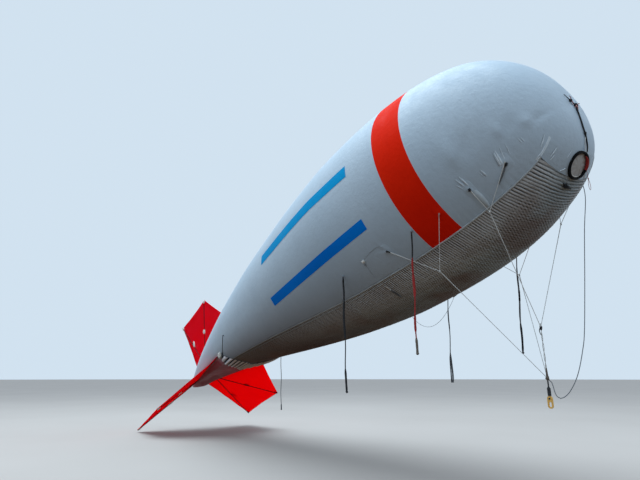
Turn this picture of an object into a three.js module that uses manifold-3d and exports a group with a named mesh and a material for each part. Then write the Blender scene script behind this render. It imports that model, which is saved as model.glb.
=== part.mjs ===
// Tethered aerostat: a streamlined fabric envelope with an elastic belly, three flat tail fins,
// a rope bridle that gathers under the nose, and the swivel that the tether is tied to.
// Millimetres. The world frame has +Z up and +X the way the nose points.
// The hull frame has +X along the envelope to the nose, +Y to port and +Z up; the attitude group
// turns it nose up and heels it to starboard. A station is the distance aft of the nose, and an
// azimuth goes round the hull in degrees from straight down, positive to port.

import * as THREE from 'three';
import Module from 'manifold-3d';

const wasm = await Module();
wasm.setup();

const RAD = Math.PI / 180;

// Driving dimensions

const hullLength = 14900;
const hullRadius = 1775;
const widestStation = 4060;
const originStation = 5400;
const noseUp = 14.5;
const heelToStarboard = 5.5;

const skin = 10;
const seat = 0.3;
const noseFullness = [3.0, 2.46];
const tailFullness = [1.28, 0.8];
const noseDroop = { depth: 190, length: 1000 };
const tailDroop = { depth: 480, start: 6060 };

// The elastic belly lies between two seams that spread towards the tail
const belly = {
  start: 550, split: 5100, end: 10200,
  seamAtNose: 34.5, seamSpread: 1.15 / 1000,
  lift: 245, liftStart: 5270, liftPeak: 12000, liftFall: 12900, liftEnd: 14050,
};
const redBand = { start: 1740, end: 2300 };

// Shape of the envelope

function radiusAt(station) {
  const s = THREE.MathUtils.clamp(station, 0, hullLength);
  if (s < widestStation) {
    const [power, root] = noseFullness;
    return hullRadius * (1 - (1 - s / widestStation) ** power) ** (1 / root);
  }
  const [power, root] = tailFullness;
  const t = (s - widestStation) / (hullLength - widestStation);
  return hullRadius * Math.max(0, 1 - t ** power) ** root;
}

function riseAt(station) {
  const nose = Math.max(0, 1 - station / noseDroop.length);
  const tail = Math.max(0, (station - tailDroop.start) / (hullLength - tailDroop.start));
  return -noseDroop.depth * nose ** 2 - tailDroop.depth * tail ** 2;
}

function seamAzimuth(station) {
  return belly.seamAtNose + belly.seamSpread * station;
}

// How far the slack belly is drawn in from the round section
function bellyLift(station, azimuth) {
  const along = THREE.MathUtils.smoothstep(station, belly.liftStart, belly.liftPeak)
    - THREE.MathUtils.smoothstep(station, belly.liftFall, belly.liftEnd);
  const across = Math.abs(azimuth) / seamAzimuth(station);
  return across < 1 ? belly.lift * along * (1 - across ** 2) : 0;
}

// A point on the envelope, or "out" millimetres outside it: along its normal, or square to the
// hull's axis where a wall ends, so that neighbours meet on flat faces
function hullPoint(station, azimuth, out = 0, square = false) {
  const wrapped = THREE.MathUtils.euclideanModulo(azimuth + 180, 360) - 180;
  const step = 2;
  const slope = station < step ? Infinity
    : (radiusAt(station + step) - radiusAt(station - step)) / (2 * step);
  const tilt = station > hullLength - step ? -Math.PI / 2 : Math.atan(slope);
  const radius = radiusAt(station) - bellyLift(station, wrapped)
    + (square ? out / Math.cos(tilt) : out * Math.cos(tilt));
  return new THREE.Vector3(
    originStation - station + (square ? 0 : out * Math.sin(tilt)),
    radius * Math.sin(azimuth * RAD),
    riseAt(station) - radius * Math.cos(azimuth * RAD),
  );
}

// Closed meshes from grids of points

class MeshBuilder {
  constructor() {
    this.points = [];
    this.keys = new Map();
    this.faces = [];
  }

  vertex(p) {
    const key = `${p.x.toFixed(4)},${p.y.toFixed(4)},${p.z.toFixed(4)}`;
    if (!this.keys.has(key)) {
      this.keys.set(key, this.points.length / 3);
      this.points.push(p.x, p.y, p.z);
    }
    return this.keys.get(key);
  }

  triangle(a, b, c) {
    const [i, j, k] = [a, b, c].map((p) => this.vertex(p));
    if (i !== j && j !== k && k !== i) this.faces.push(i, j, k);
  }

  quad(a, b, c, d) {
    this.triangle(a, c, b);
    this.triangle(a, d, c);
  }

  geometry() {
    const geometry = new THREE.BufferGeometry();
    geometry.setAttribute('position', new THREE.Float32BufferAttribute(this.points, 3));
    geometry.setIndex(this.faces);
    return geometry;
  }
}

// The facets that every piece on the hull shares: rows at the stations of the sections, and round
// each row the belly's steps from seam to seam, then the steps over the top
const aroundBelly = 8;
const aroundTop = 28;
const aroundHull = aroundBelly + aroundTop;

function azimuthAt(station, step) {
  const seam = seamAzimuth(station);
  return step <= aroundBelly
    ? -seam + 2 * seam * step / aroundBelly
    : seam + (360 - 2 * seam) * (step - aroundBelly) / aroundTop;
}

// Rows between two stations, closer together towards the nose's tip
function rowsBetween({ start, end, rows }) {
  const spacing = start === 0 ? 2 : 1;
  return Array.from({ length: rows + 1 }, (_, i) => start + (end - start) * (i / rows) ** spacing);
}

// A closed wall over the given rows and the azimuth steps from "first" to "last". Cut edges stand
// back by half a seat, so that two neighbours are one seat apart.
function wall({ rows, first = 0, last = aroundHull, outer = 0, inner = -skin }) {
  const full = last - first === aroundHull;
  const foot = rows.length - 1;
  const isCut = (s) => s > 0 && s < hullLength;
  const grid = (out) => rows.map((row, i) => {
    const isEnd = (i === 0 || i === foot) && isCut(row);
    const s = isEnd ? row + (i === 0 ? 1 : -1) * seat / 2 : row;
    const back = full ? 0 : seat / 2 / radiusAt(s) / RAD;
    return Array.from({ length: last - first + 1 }, (_, j) => {
      const edge = j === 0 ? back : (j === last - first ? -back : 0);
      const step = full && j === last - first ? first : first + j;
      return hullPoint(s, azimuthAt(s, step) + edge, out, isEnd);
    });
  });
  const outside = grid(outer);
  const inside = grid(inner);
  const mesh = new MeshBuilder();
  const e = last - first;
  for (let j = 0; j < e; j += 1) {
    for (let i = 0; i < foot; i += 1) {
      mesh.quad(outside[i][j], outside[i][j + 1], outside[i + 1][j + 1], outside[i + 1][j]);
      mesh.quad(inside[i][j], inside[i + 1][j], inside[i + 1][j + 1], inside[i][j + 1]);
    }
    if (isCut(rows[0])) mesh.quad(outside[0][j], inside[0][j], inside[0][j + 1], outside[0][j + 1]);
    if (isCut(rows[foot])) {
      mesh.quad(outside[foot][j], outside[foot][j + 1], inside[foot][j + 1], inside[foot][j]);
    }
  }
  for (let i = 0; i < foot && !full; i += 1) {
    mesh.quad(outside[i][0], outside[i + 1][0], inside[i + 1][0], inside[i][0]);
    mesh.quad(outside[i][e], inside[i][e], inside[i + 1][e], outside[i + 1][e]);
  }
  return mesh.geometry();
}

// Envelope sections, each as { name, start, end, rows, finish }
const sections = [
  { name: 'envelope_nose', start: 0, end: belly.start, rows: 6, finish: 'fabric' },
  { name: 'envelope_fore', start: belly.start, end: redBand.start, rows: 3, finish: 'fabric' },
  { name: 'envelope_band', start: redBand.start, end: redBand.end, rows: 1, finish: 'red' },
  { name: 'envelope_mid', start: redBand.end, end: belly.split, rows: 4, finish: 'fabric' },
  { name: 'envelope_aft', start: belly.split, end: belly.end, rows: 7, finish: 'fabric' },
  { name: 'envelope_tail', start: belly.end, end: hullLength, rows: 7, finish: 'fabric' },
];
const bellyPanels = [
  { name: 'belly_fore', start: belly.start, end: belly.split },
  { name: 'belly_aft', start: belly.split, end: belly.end },
];
const hullRows = [...new Set(sections.flatMap(rowsBetween))];

// The whole hull as one solid, grown by "out", for shaping what sits on the skin
function hullSolid(out) {
  const rings = hullRows.map((s) => Array.from(
    { length: aroundHull },
    (_, j) => hullPoint(s, azimuthAt(s, j), out),
  ));
  const mesh = new MeshBuilder();
  for (let i = 0; i < rings.length - 1; i += 1) {
    for (let j = 0; j < aroundHull; j += 1) {
      const k = (j + 1) % aroundHull;
      mesh.quad(rings[i][j], rings[i][k], rings[i + 1][k], rings[i + 1][j]);
    }
  }
  return mesh.geometry();
}

// Joining and cutting

function toSolid(geometry) {
  const position = geometry.getAttribute('position');
  const mesh = new MeshBuilder();
  const order = geometry.index ? geometry.index.array : [...Array(position.count).keys()];
  const point = (i) => new THREE.Vector3().fromBufferAttribute(position, order[i]);
  for (let i = 0; i < order.length; i += 3) mesh.triangle(point(i), point(i + 1), point(i + 2));
  return new wasm.Manifold(new wasm.Mesh({
    numProp: 3,
    vertProperties: new Float32Array(mesh.points),
    triVerts: new Uint32Array(mesh.faces),
  }));
}

function fromSolid(solid) {
  const { vertProperties, triVerts } = solid.getMesh();
  const geometry = new THREE.BufferGeometry();
  geometry.setAttribute('position', new THREE.BufferAttribute(new Float32Array(vertProperties), 3));
  geometry.setIndex(new THREE.BufferAttribute(new Uint32Array(triVerts), 1));
  return geometry;
}

const join = (pieces) => fromSolid(pieces.map(toSolid).reduce((a, b) => a.add(b)));
const cut = (piece, tool) => fromSolid(toSolid(piece).subtract(toSolid(tool)));

// A straight round bar between two points
function bar(from, to, radius, sides = 8) {
  const along = to.clone().sub(from);
  const geometry = new THREE.CylinderGeometry(radius, radius, along.length(), sides);
  const turn = new THREE.Quaternion().setFromUnitVectors(
    new THREE.Vector3(0, 1, 0),
    along.clone().normalize(),
  );
  geometry.applyQuaternion(turn);
  geometry.translate(...from.clone().lerp(to, 0.5));
  return geometry;
}

function ball(centre, radius) {
  return new THREE.SphereGeometry(radius, 12, 8).translate(...centre);
}

function circleShape(radius, sides = 8) {
  return new THREE.Shape(Array.from({ length: sides }, (_, i) => new THREE.Vector2(
    radius * Math.cos(2 * Math.PI * i / sides),
    radius * Math.sin(2 * Math.PI * i / sides),
  )));
}

// A round line along a smooth path
function lineAlong(points, radius, steps) {
  const path = new THREE.CatmullRomCurve3(points, false, 'centripetal');
  return new THREE.ExtrudeGeometry(circleShape(radius), { steps, extrudePath: path, bevelEnabled: false });
}

// Materials

const paint = (color, roughness, metalness = 0) => ({ color, roughness, metalness });
const finishes = {
  fabric: paint(0x9fadb8, 0.55),
  red: paint(0xd8201c, 0.6),
  belly: paint(0x686c6f, 0.8),
  finFabric: paint(0xe0141f, 0.6),
  patch: paint(0x8e9aa5, 0.6),
  rod: paint(0x7c1216, 0.5),
  rope: paint(0xa9adaa, 0.8),
  darkRope: paint(0x2b2d30, 0.8),
  redRope: paint(0xa02a26, 0.8),
  black: paint(0x16171a, 0.5),
  cover: paint(0x8f8d8a, 0.7),
  steel: paint(0x4a4c50, 0.35, 0.9),
  yellow: paint(0xd9a02a, 0.5),
};

const world = new THREE.Group();
const attitude = new THREE.Group();
attitude.rotation.set(heelToStarboard * RAD, -noseUp * RAD, 0, 'YXZ');
attitude.updateMatrix();
world.add(attitude);

function add(name, geometry, finish, parent = world) {
  const mesh = new THREE.Mesh(geometry, new THREE.MeshStandardMaterial(finishes[finish]));
  mesh.name = name;
  parent.add(mesh);
}

const toWorld = (p) => p.clone().applyMatrix4(attitude.matrix);
const onHull = (station, azimuth, out = 0) => toWorld(hullPoint(station, azimuth, out));

// Envelope sections

function sectionWall(section) {
  const rows = rowsBetween(section);
  const open = section.start >= belly.start && section.start < belly.end;
  return wall({ rows, first: open ? aroundBelly : 0 });
}

// Nose port: a round hole in the lower nose with a ring and a flat cover. Its axis points down
// and a little to starboard.
const port = {
  station: 298, azimuth: -2, down: 47, toStarboard: 7,
  radius: 200, holeDepth: 400, ringWidth: 27, ringTop: 14, ringDepth: 90,
  coverDepth: 14, coverSunk: 16,
};
const portAxis = new THREE.Vector3(
  Math.cos(port.down * RAD) * Math.cos(port.toStarboard * RAD),
  -Math.cos(port.down * RAD) * Math.sin(port.toStarboard * RAD),
  -Math.sin(port.down * RAD),
);
const portCentre = hullPoint(port.station, port.azimuth);

function portTurned(geometry) {
  const turn = new THREE.Quaternion().setFromUnitVectors(new THREE.Vector3(0, 1, 0), portAxis);
  return geometry.applyQuaternion(turn).translate(...portCentre);
}

for (const section of sections) {
  let geometry = sectionWall(section);
  if (section.start === 0) {
    const radius = port.radius + seat;
    geometry = cut(geometry, portTurned(new THREE.CylinderGeometry(radius, radius, port.holeDepth, 32)));
  }
  add(section.name, geometry, section.finish, attitude);
}

const ringInner = port.radius - port.ringWidth;
const ringFoot = port.ringTop - port.ringDepth;
const ringProfile = [
  [ringInner, ringFoot], [port.radius, ringFoot],
  [port.radius, port.ringTop], [ringInner, port.ringTop], [ringInner, ringFoot],
].map(([r, h]) => new THREE.Vector2(r, h));
add('port_ring', portTurned(new THREE.LatheGeometry(ringProfile, 32)), 'black', attitude);

const coverRadius = ringInner - seat;
const coverDisc = new THREE.CylinderGeometry(coverRadius, coverRadius, port.coverDepth, 32);
add('port_cover', portTurned(coverDisc.translate(0, port.ringTop - port.coverSunk, 0)), 'cover', attitude);

// Belly panels between the seams
for (const { name, start, end } of bellyPanels) {
  const rows = hullRows.filter((s) => s >= start && s <= end);
  add(name, wall({ rows, last: aroundBelly }), 'belly', attitude);
}

// Tail fins: flat panels in planes through the tail's own axis, which droops with the tail.
// Corners are [aft of the hull's tail end, out from the tail axis].
const fin = {
  thickness: 12,
  axisDroop: 5.7,
  rootFore: [-3760, 800],
  tipFore: [-2110, 2340],
  tipAft: [110, 2300],
  rootAft: [-700, 280],
  rootSink: 250,
  sinkFore: -60,
  sinkAft: -100,
  rodRadius: 12,
  rodFoot: [-1330, 420],
  rodSpread: 70,
};
const fins = [
  { name: 'top', around: 0, rodSide: -1 },
  { name: 'port', around: 120, rodSide: 1 },
  { name: 'starboard', around: -120, rodSide: -1 },
];
const tailEnd = new THREE.Vector3(originStation - hullLength, 0, riseAt(hullLength));

// The matrix that lays x = aft, y = out, z = across the panel in the fin's plane
function finFrame(around) {
  const droop = fin.axisDroop * RAD;
  const aft = new THREE.Vector3(-Math.cos(droop), 0, -Math.sin(droop));
  const up = new THREE.Vector3(-Math.sin(droop), 0, Math.cos(droop));
  const out = up.multiplyScalar(Math.cos(around * RAD))
    .add(new THREE.Vector3(0, Math.sin(around * RAD), 0));
  const across = aft.clone().cross(out);
  return new THREE.Matrix4().makeBasis(aft, out, across).setPosition(tailEnd);
}

const hullCutter = hullSolid(seat);
for (const { name, around, rodSide } of fins) {
  const frame = finFrame(around);
  const [fx, fy] = fin.rootFore;
  const [ax, ay] = fin.rootAft;
  const outline = [
    new THREE.Vector2(fx + fin.sinkFore, fy - fin.rootSink), new THREE.Vector2(fx, fy),
    new THREE.Vector2(...fin.tipFore), new THREE.Vector2(...fin.tipAft),
    new THREE.Vector2(ax, ay), new THREE.Vector2(ax + fin.sinkAft, ay - fin.rootSink),
  ];
  const panel = new THREE.ExtrudeGeometry(
    new THREE.Shape(outline),
    { depth: fin.thickness, bevelEnabled: false },
  ).translate(0, 0, -fin.thickness / 2).applyMatrix4(frame);
  add(`fin_${name}`, cut(panel, hullCutter), 'finFabric', attitude);

  const offset = rodSide * (fin.thickness / 2 + fin.rodRadius + seat);
  const place = ([aft, out]) => new THREE.Vector3(aft, out, offset).applyMatrix4(frame);
  for (const [end, tip, sign] of [['fore', fin.tipFore, -1], ['aft', fin.tipAft, 1]]) {
    const foot = [fin.rodFoot[0] + sign * fin.rodSpread, fin.rodFoot[1]];
    const rod = bar(place(foot), place(tip), fin.rodRadius);
    add(`fin_${name}_rod_${end}`, cut(rod, hullCutter), 'rod', attitude);
  }
}

// Load patches on the skin at these stations, mirrored to both sides
const patch = { azimuth: 50.5, long: 260, wide: 150, thick: 6, depth: 60 };
const patchStations = [750, 1290, 1820, 2920];
const patchSkin = toSolid(hullSolid(seat + patch.thick)).subtract(toSolid(hullCutter));
for (const [side, sign] of [['port', 1], ['starboard', -1]]) {
  patchStations.forEach((station, i) => {
    const block = new THREE.BoxGeometry(patch.wide, patch.long, patch.depth);
    block.rotateX(sign * patch.azimuth * RAD);
    block.translate(...hullPoint(station, sign * patch.azimuth));
    const solid = patchSkin.intersect(toSolid(block));
    add(`load_patch_${side}_${i + 1}`, fromSolid(solid), 'patch', attitude);
  });
}

// Bridle: on each side the two front patches run to one junction and the two rear patches to
// another. The front junctions meet at the riser's head, and all ends at the gathering knot.
const rope = { leg: 5, riser: 6, junction: 14, head: 18, knot: 30 };
const knot = new THREE.Vector3(4190, 343, -2520);
const riserHead = new THREE.Vector3(4229, 271, -1815);
const junctions = {
  starboard: { front: [4353, -819, -317], rear: [3435, -872, -993] },
  port: { front: [4307, 1070, -141], rear: [3385, 1204, -800] },
};
const patchCutterWorld = hullSolid(seat * 2 + patch.thick).applyMatrix4(attitude.matrix);

// The point on the way from "from" to "to" that lies "short" before "to"
function shortOf(from, to, short) {
  return to.clone().add(from.clone().sub(to).setLength(short));
}

for (const [side, sign] of [['port', 1], ['starboard', -1]]) {
  const patchFoot = (i) => onHull(patchStations[i], sign * patch.azimuth);
  const front = new THREE.Vector3(...junctions[side].front);
  const rear = new THREE.Vector3(...junctions[side].rear);
  add(`bridle_front_${side}`, cut(join([
    bar(patchFoot(0), front, rope.leg), bar(patchFoot(1), front, rope.leg), ball(front, rope.junction),
    bar(front, shortOf(front, riserHead, rope.head + seat), rope.leg),
  ]), patchCutterWorld), 'rope');
  add(`bridle_rear_${side}`, cut(join([
    bar(patchFoot(2), rear, rope.leg), bar(patchFoot(3), rear, rope.leg), ball(rear, rope.junction),
    bar(rear, shortOf(rear, knot, rope.knot + seat), rope.leg),
  ]), patchCutterWorld), 'rope');
}
add('bridle_riser', join([
  ball(riserHead, rope.head),
  bar(riserHead, shortOf(riserHead, knot, rope.knot + seat), rope.riser),
]), 'rope');

// Gathering knot with the swivel's fixed head under it, then the part of the swivel that turns
const swivel = {
  headTop: 26, headLength: 150, barrel: 24, barrelTop: 40, neck: 10, neckFoot: 60,
  stem: 7, stemLength: 40, bore: 7.6, boreRoom: 2, turnGap: 1, footLength: 60,
};
const headBase = knot.z - swivel.headTop - swivel.headLength;
const latheAt = (profile, z, sides = 16) => new THREE.LatheGeometry(
  profile.map(([r, h]) => new THREE.Vector2(r, h)),
  sides,
).rotateX(Math.PI / 2).translate(knot.x, knot.y, z);

add('bridle_knot', ball(knot, rope.knot), 'darkRope');
const neckTop = knot.z - rope.knot - seat - headBase;
add('swivel_head', latheAt([
  [0, -swivel.stemLength], [swivel.stem, -swivel.stemLength], [swivel.stem, 0], [swivel.barrel, 0],
  [swivel.barrel, swivel.barrelTop], [swivel.neck, swivel.neckFoot], [swivel.neck, neckTop], [0, neckTop],
], headBase), 'steel');

const footTop = headBase - swivel.turnGap;
const boreDepth = swivel.stemLength + swivel.boreRoom;
add('swivel_foot', latheAt([
  [0, -swivel.footLength], [swivel.barrel, -swivel.footLength], [swivel.barrel, 0],
  [swivel.bore, 0], [swivel.bore, -boreDepth], [0, -boreDepth],
], footTop), 'steel');

// Flat link with an eye for the tether
const link = {
  width: 80, height: 170, thick: 18, eyeWidth: 40, eyeHeight: 70, eyeDown: 30,
  pin: 12, pinUp: 48, pinProud: 12,
};
const footBase = footTop - swivel.footLength;
const linkCentre = footBase - seat - link.height / 2;

function stadium(width, height, offset = 0) {
  const r = width / 2;
  const flat = height / 2 - r;
  const shape = new THREE.Shape();
  shape.absarc(0, offset + flat, r, 0, Math.PI, false);
  shape.absarc(0, offset - flat, r, Math.PI, 2 * Math.PI, false);
  return shape;
}

const linkShape = stadium(link.width, link.height);
linkShape.holes.push(stadium(link.eyeWidth, link.eyeHeight, -link.eyeDown));
const pinHole = new THREE.Path();
pinHole.absarc(0, link.pinUp, link.pin + seat, 0, 2 * Math.PI, false);
linkShape.holes.push(pinHole);
const linkSolid = new THREE.ExtrudeGeometry(
  linkShape,
  { depth: link.thick, bevelEnabled: false, curveSegments: 8 },
);
linkSolid.translate(0, 0, -link.thick / 2).rotateX(Math.PI / 2).translate(knot.x, knot.y, linkCentre);
add('tether_link', linkSolid, 'yellow');

const pinLength = link.thick + 2 * link.pinProud;
const linkPin = new THREE.CylinderGeometry(link.pin, link.pin, pinLength, 12);
add('link_pin', linkPin.translate(knot.x, knot.y, linkCentre + link.pinUp), 'steel');

// Handling lines that hang free from the skin. A breeze leans them by "lean" millimetres a metre
// towards "leeward". Columns: name, station, azimuth, length, length of the thick end, lean, finish.
const lineRadius = 9;
const endRadius = 20;
const lines = [
  ['line_fore_starboard', 2335, -51.4, 1570, 230, -7, 'redRope'],
  ['line_fore_port', 2330, 51.4, 1450, 520, -46, 'darkRope'],
  ['line_mid_starboard', 4006, -52.9, 1550, 375, 16, 'darkRope'],
  ['line_mid_port', 4115, 52.9, 1440, 580, -18, 'rope'],
  ['line_aft_starboard', 9590, -79, 420, 80, 37, 'darkRope'],
  ['line_aft_port', 10260, 80.6, 1870, 160, 22, 'darkRope'],
];
const leeward = new THREE.Vector3(0.56, 0.83, 0);
const lineCutter = hullSolid(seat).applyMatrix4(attitude.matrix);
const lineStub = 25;
for (const [name, station, azimuth, length, end, lean, finish] of lines) {
  const root = onHull(station, azimuth, -lineStub);
  const top = onHull(station, azimuth, lineStub);
  const down = leeward.clone().multiplyScalar(lean / 1000).setZ(-1);
  const below = (distance) => top.clone().addScaledVector(down, distance);
  const line = join([
    bar(root, top, lineRadius), ball(top, lineRadius), bar(top, below(length), lineRadius),
  ]);
  add(name, cut(line, lineCutter), finish);
  add(`${name}_end`, bar(below(length + seat), below(length + end), endRadius), finish);
}

// Slack line from the port front patch down to the knot
const slackRadius = 6;
const slackRoot = { forward: 45, up: 1, sunk: 5 };
const slackStation = patchStations[0] - slackRoot.forward;
const slackLine = [
  onHull(slackStation, patch.azimuth + slackRoot.up, -slackRoot.sunk).toArray(),
  [4733, 1102, 200], [4679, 1026, -343], [4614, 935, -1119], [4548, 843, -1852], [4509, 789, -2134],
  [4439, 691, -2478], [4356, 574, -2706], [4284, 474, -2790], [4245, 412, -2745], [4224, 386, -2585],
  knot.toArray(),
].map((p) => new THREE.Vector3(...p));
const slackSolid = lineAlong(slackLine, slackRadius, 60);
add('slack_line', cut(cut(slackSolid, patchCutterWorld), ball(knot, rope.knot + seat)), 'rope');

export default world;
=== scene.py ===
"""Looks of the tethered aerostat, in metres, in the frame of the CAD part.

+X is the way the nose points, +Y is port and +Z is up. A station is the distance aft of the nose
and an azimuth goes round the hull in degrees from straight down, positive to port.
"""

import math

import bpy
import numpy as np
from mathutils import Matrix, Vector


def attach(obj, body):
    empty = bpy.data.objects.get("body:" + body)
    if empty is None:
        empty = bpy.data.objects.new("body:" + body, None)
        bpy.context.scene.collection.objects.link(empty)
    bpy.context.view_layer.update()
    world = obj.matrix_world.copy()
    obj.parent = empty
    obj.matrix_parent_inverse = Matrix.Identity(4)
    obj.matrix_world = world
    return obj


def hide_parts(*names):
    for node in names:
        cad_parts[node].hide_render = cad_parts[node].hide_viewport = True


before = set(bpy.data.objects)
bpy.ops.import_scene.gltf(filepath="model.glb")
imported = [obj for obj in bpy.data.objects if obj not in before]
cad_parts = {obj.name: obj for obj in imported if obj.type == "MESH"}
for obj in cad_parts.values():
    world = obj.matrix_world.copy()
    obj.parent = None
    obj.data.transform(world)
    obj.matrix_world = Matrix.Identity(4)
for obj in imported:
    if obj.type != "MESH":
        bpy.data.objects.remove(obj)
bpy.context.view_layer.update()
ROOT = "aerostat"

# Form of the hull, as in the part's source

HULL_LENGTH = 14.9
HULL_RADIUS = 1.775
WIDEST_STATION = 4.06
ORIGIN_STATION = 5.4
NOSE_UP = math.radians(14.5)
HEEL = math.radians(5.5)
# Powers of the outline, and the depth and length or start of each end's droop
NOSE_FULLNESS, TAIL_FULLNESS = (3.0, 2.46), (1.28, 0.8)
NOSE_DROOP, TAIL_DROOP = (0.19, 1.0), (0.48, 6.06)
SEAM_AT_NOSE, SEAM_SPREAD = 34.5, 1.15
BELLY_START, BELLY_SPLIT, BELLY_END = 0.55, 5.1, 10.2
BELLY_LIFT = 0.245
LIFT_START, LIFT_PEAK, LIFT_FALL, LIFT_END = 5.27, 12.0, 12.9, 14.05
RED_BAND = (1.74, 2.3)

PITCH = np.array([
    [math.cos(-NOSE_UP), 0, math.sin(-NOSE_UP)],
    [0, 1, 0],
    [-math.sin(-NOSE_UP), 0, math.cos(-NOSE_UP)],
])
ROLL = np.array([
    [1, 0, 0],
    [0, math.cos(HEEL), -math.sin(HEEL)],
    [0, math.sin(HEEL), math.cos(HEEL)],
])
ATTITUDE = PITCH @ ROLL


def smoothstep(x, low, high):
    t = np.clip((x - low) / (high - low), 0, 1)
    return t * t * (3 - 2 * t)


def radius_at(station):
    s = np.clip(station, 0, HULL_LENGTH)
    power, root = NOSE_FULLNESS
    nose = np.maximum(0, 1 - np.maximum(0, 1 - s / WIDEST_STATION) ** power) ** (1 / root)
    power, root = TAIL_FULLNESS
    t = np.clip((s - WIDEST_STATION) / (HULL_LENGTH - WIDEST_STATION), 0, 1)
    tail = np.maximum(0, 1 - t ** power) ** root
    return HULL_RADIUS * np.where(s < WIDEST_STATION, nose, tail)


def rise_at(station):
    """Height of the hull's axis, which droops towards both ends."""
    depth, length = NOSE_DROOP
    nose = depth * np.maximum(0, 1 - station / length) ** 2
    depth, start = TAIL_DROOP
    tail = depth * np.maximum(0, (station - start) / (HULL_LENGTH - start)) ** 2
    return -nose - tail


def seam_azimuth(station):
    return SEAM_AT_NOSE + SEAM_SPREAD * station


def belly_lift(station, azimuth):
    along = smoothstep(station, LIFT_START, LIFT_PEAK) - smoothstep(station, LIFT_FALL, LIFT_END)
    across = np.minimum(1, np.abs(azimuth) / seam_azimuth(station))
    return BELLY_LIFT * along * (1 - across ** 2)


def to_world(points):
    return np.asarray(points, float) @ ATTITUDE.T


def hull(station, azimuth, out=0.0):
    """Points on the hull in the row frame, out metres outside its skin."""
    s, a, out = np.broadcast_arrays(*(np.asarray(v, float) for v in (station, azimuth, out)))
    step = 0.002
    slope = (radius_at(s + step) - radius_at(s - step)) / (2 * step)
    tilt = np.arctan(slope)
    tilt = np.where(s < step, math.pi / 2, np.where(s > HULL_LENGTH - step, -math.pi / 2, tilt))
    wrapped = (a + 180) % 360 - 180
    r = radius_at(s) - belly_lift(s, wrapped) + out * np.cos(tilt)
    turn = np.radians(a)
    return to_world(np.stack([
        ORIGIN_STATION - s + out * np.sin(tilt),
        r * np.sin(turn),
        rise_at(s) - r * np.cos(turn),
    ], axis=-1))


def hull_point(station, azimuth, out=0.0):
    return Vector(hull(station, azimuth, out))


# Node trees

def is_socket(value):
    return isinstance(value, bpy.types.NodeSocket)


class Tree:
    """The node tree of a material or the world, with the few kinds of node that these need."""

    def __init__(self, owner, space):
        owner.use_nodes = True
        self.tree = owner.node_tree
        self.coordinates = self.new("ShaderNodeTexCoord", {}).outputs[space]

    def put(self, node, inputs):
        """Give the node its inputs, each a constant or the output of another node."""
        for key, value in inputs.items():
            if is_socket(value):
                self.tree.links.new(value, node.inputs[key])
            else:
                node.inputs[key].default_value = value

    def new(self, kind, inputs, **settings):
        node = self.tree.nodes.new(kind)
        for key, value in settings.items():
            setattr(node, key, value)
        self.put(node, inputs)
        return node

    def attribute(self, name):
        return self.new("ShaderNodeAttribute", {}, attribute_name=name).outputs["Fac"]

    def maths(self, operation, a, b=0.0, c=0.0):
        return self.new("ShaderNodeMath", {0: a, 1: b, 2: c}, operation=operation).outputs[0]

    def times(self, a, b):
        return self.maths("MULTIPLY", a, b)

    def spread(self, value, low, high, to_low=0.0, to_high=1.0):
        inputs = {"Value": value, "From Min": low, "From Max": high, "To Min": to_low,
                  "To Max": to_high}
        return self.new("ShaderNodeMapRange", inputs).outputs[0]

    def mix(self, share, a, b):
        a, b = (c if is_socket(c) else (*c, 1) for c in (a, b))
        return self.new("ShaderNodeMix", {0: share, 6: a, 7: b}, data_type="RGBA").outputs[2]


class Nodes(Tree):
    """A material in the making."""

    def __init__(self, name, roughness=0.6, metallic=0.0, specular=0.5):
        self.material = bpy.data.materials.new(name)
        super().__init__(self.material, "Object")
        self.shader = self.tree.nodes["Principled BSDF"]
        self.put(self.shader, {"Roughness": roughness, "Metallic": metallic,
                               "Specular IOR Level": specular})
        self.last_bump = None

    def noise(self, scale, detail=4.0, vector=None, roughness=0.5):
        inputs = {"Vector": vector or self.coordinates, "Scale": scale, "Detail": detail,
                  "Roughness": roughness}
        return self.new("ShaderNodeTexNoise", inputs).outputs["Fac"]

    def blotches(self, scale, detail, low, high, to_low=0.0, to_high=1.0):
        return self.spread(self.noise(scale, detail), low, high, to_low, to_high)

    def bump(self, height, distance, strength=1.0):
        inputs = {"Height": height, "Distance": distance, "Strength": strength}
        if self.last_bump:
            inputs["Normal"] = self.last_bump
        self.last_bump = self.new("ShaderNodeBump", inputs).outputs[0]

    def finish(self, colour, roughness=None):
        self.put(self.shader, {"Base Color": colour, "Normal": self.last_bump})
        if roughness:
            self.put(self.shader, {"Roughness": roughness})
        return self.material


# Camera, sky and light

CAMERA_AT = Vector((8.218, -6.276, -2.505))
CAMERA_LOOK = Vector((-0.795, 0.541, 0.274))
PHOTO_WIDTH = 640
FOCAL_PIXELS = 481
SENSOR = 36
EYE_HEIGHT = 1.7
FLOOR_Z = CAMERA_AT.z - EYE_HEIGHT
LIGHT_AT, LIT_PLACE = Vector((-4.4, -4.5, 26)), Vector((-3, 0, 0))


def aimed(name, data, at, direction):
    """An object at a place, turned to look along the direction."""
    thing = bpy.data.objects.new(name, data)
    thing.location = at
    thing.rotation_euler = direction.to_track_quat("-Z", "Y").to_euler()
    bpy.context.collection.objects.link(thing)
    return thing


def make_sky():
    """An even pale sky over dark ground, so that the undersides fall off as they do outdoors."""
    world = bpy.data.worlds.new("sky")
    n = Tree(world, "Generated")
    height = n.new("ShaderNodeSeparateXYZ", {0: n.coordinates}).outputs["Z"]
    colour = n.mix(n.spread(height, -0.07, -0.01), (0.105, 0.076, 0.050), (0.64, 0.76, 0.87))
    n.put(n.tree.nodes["Background"], {"Color": colour})
    bpy.context.scene.world = world


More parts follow.
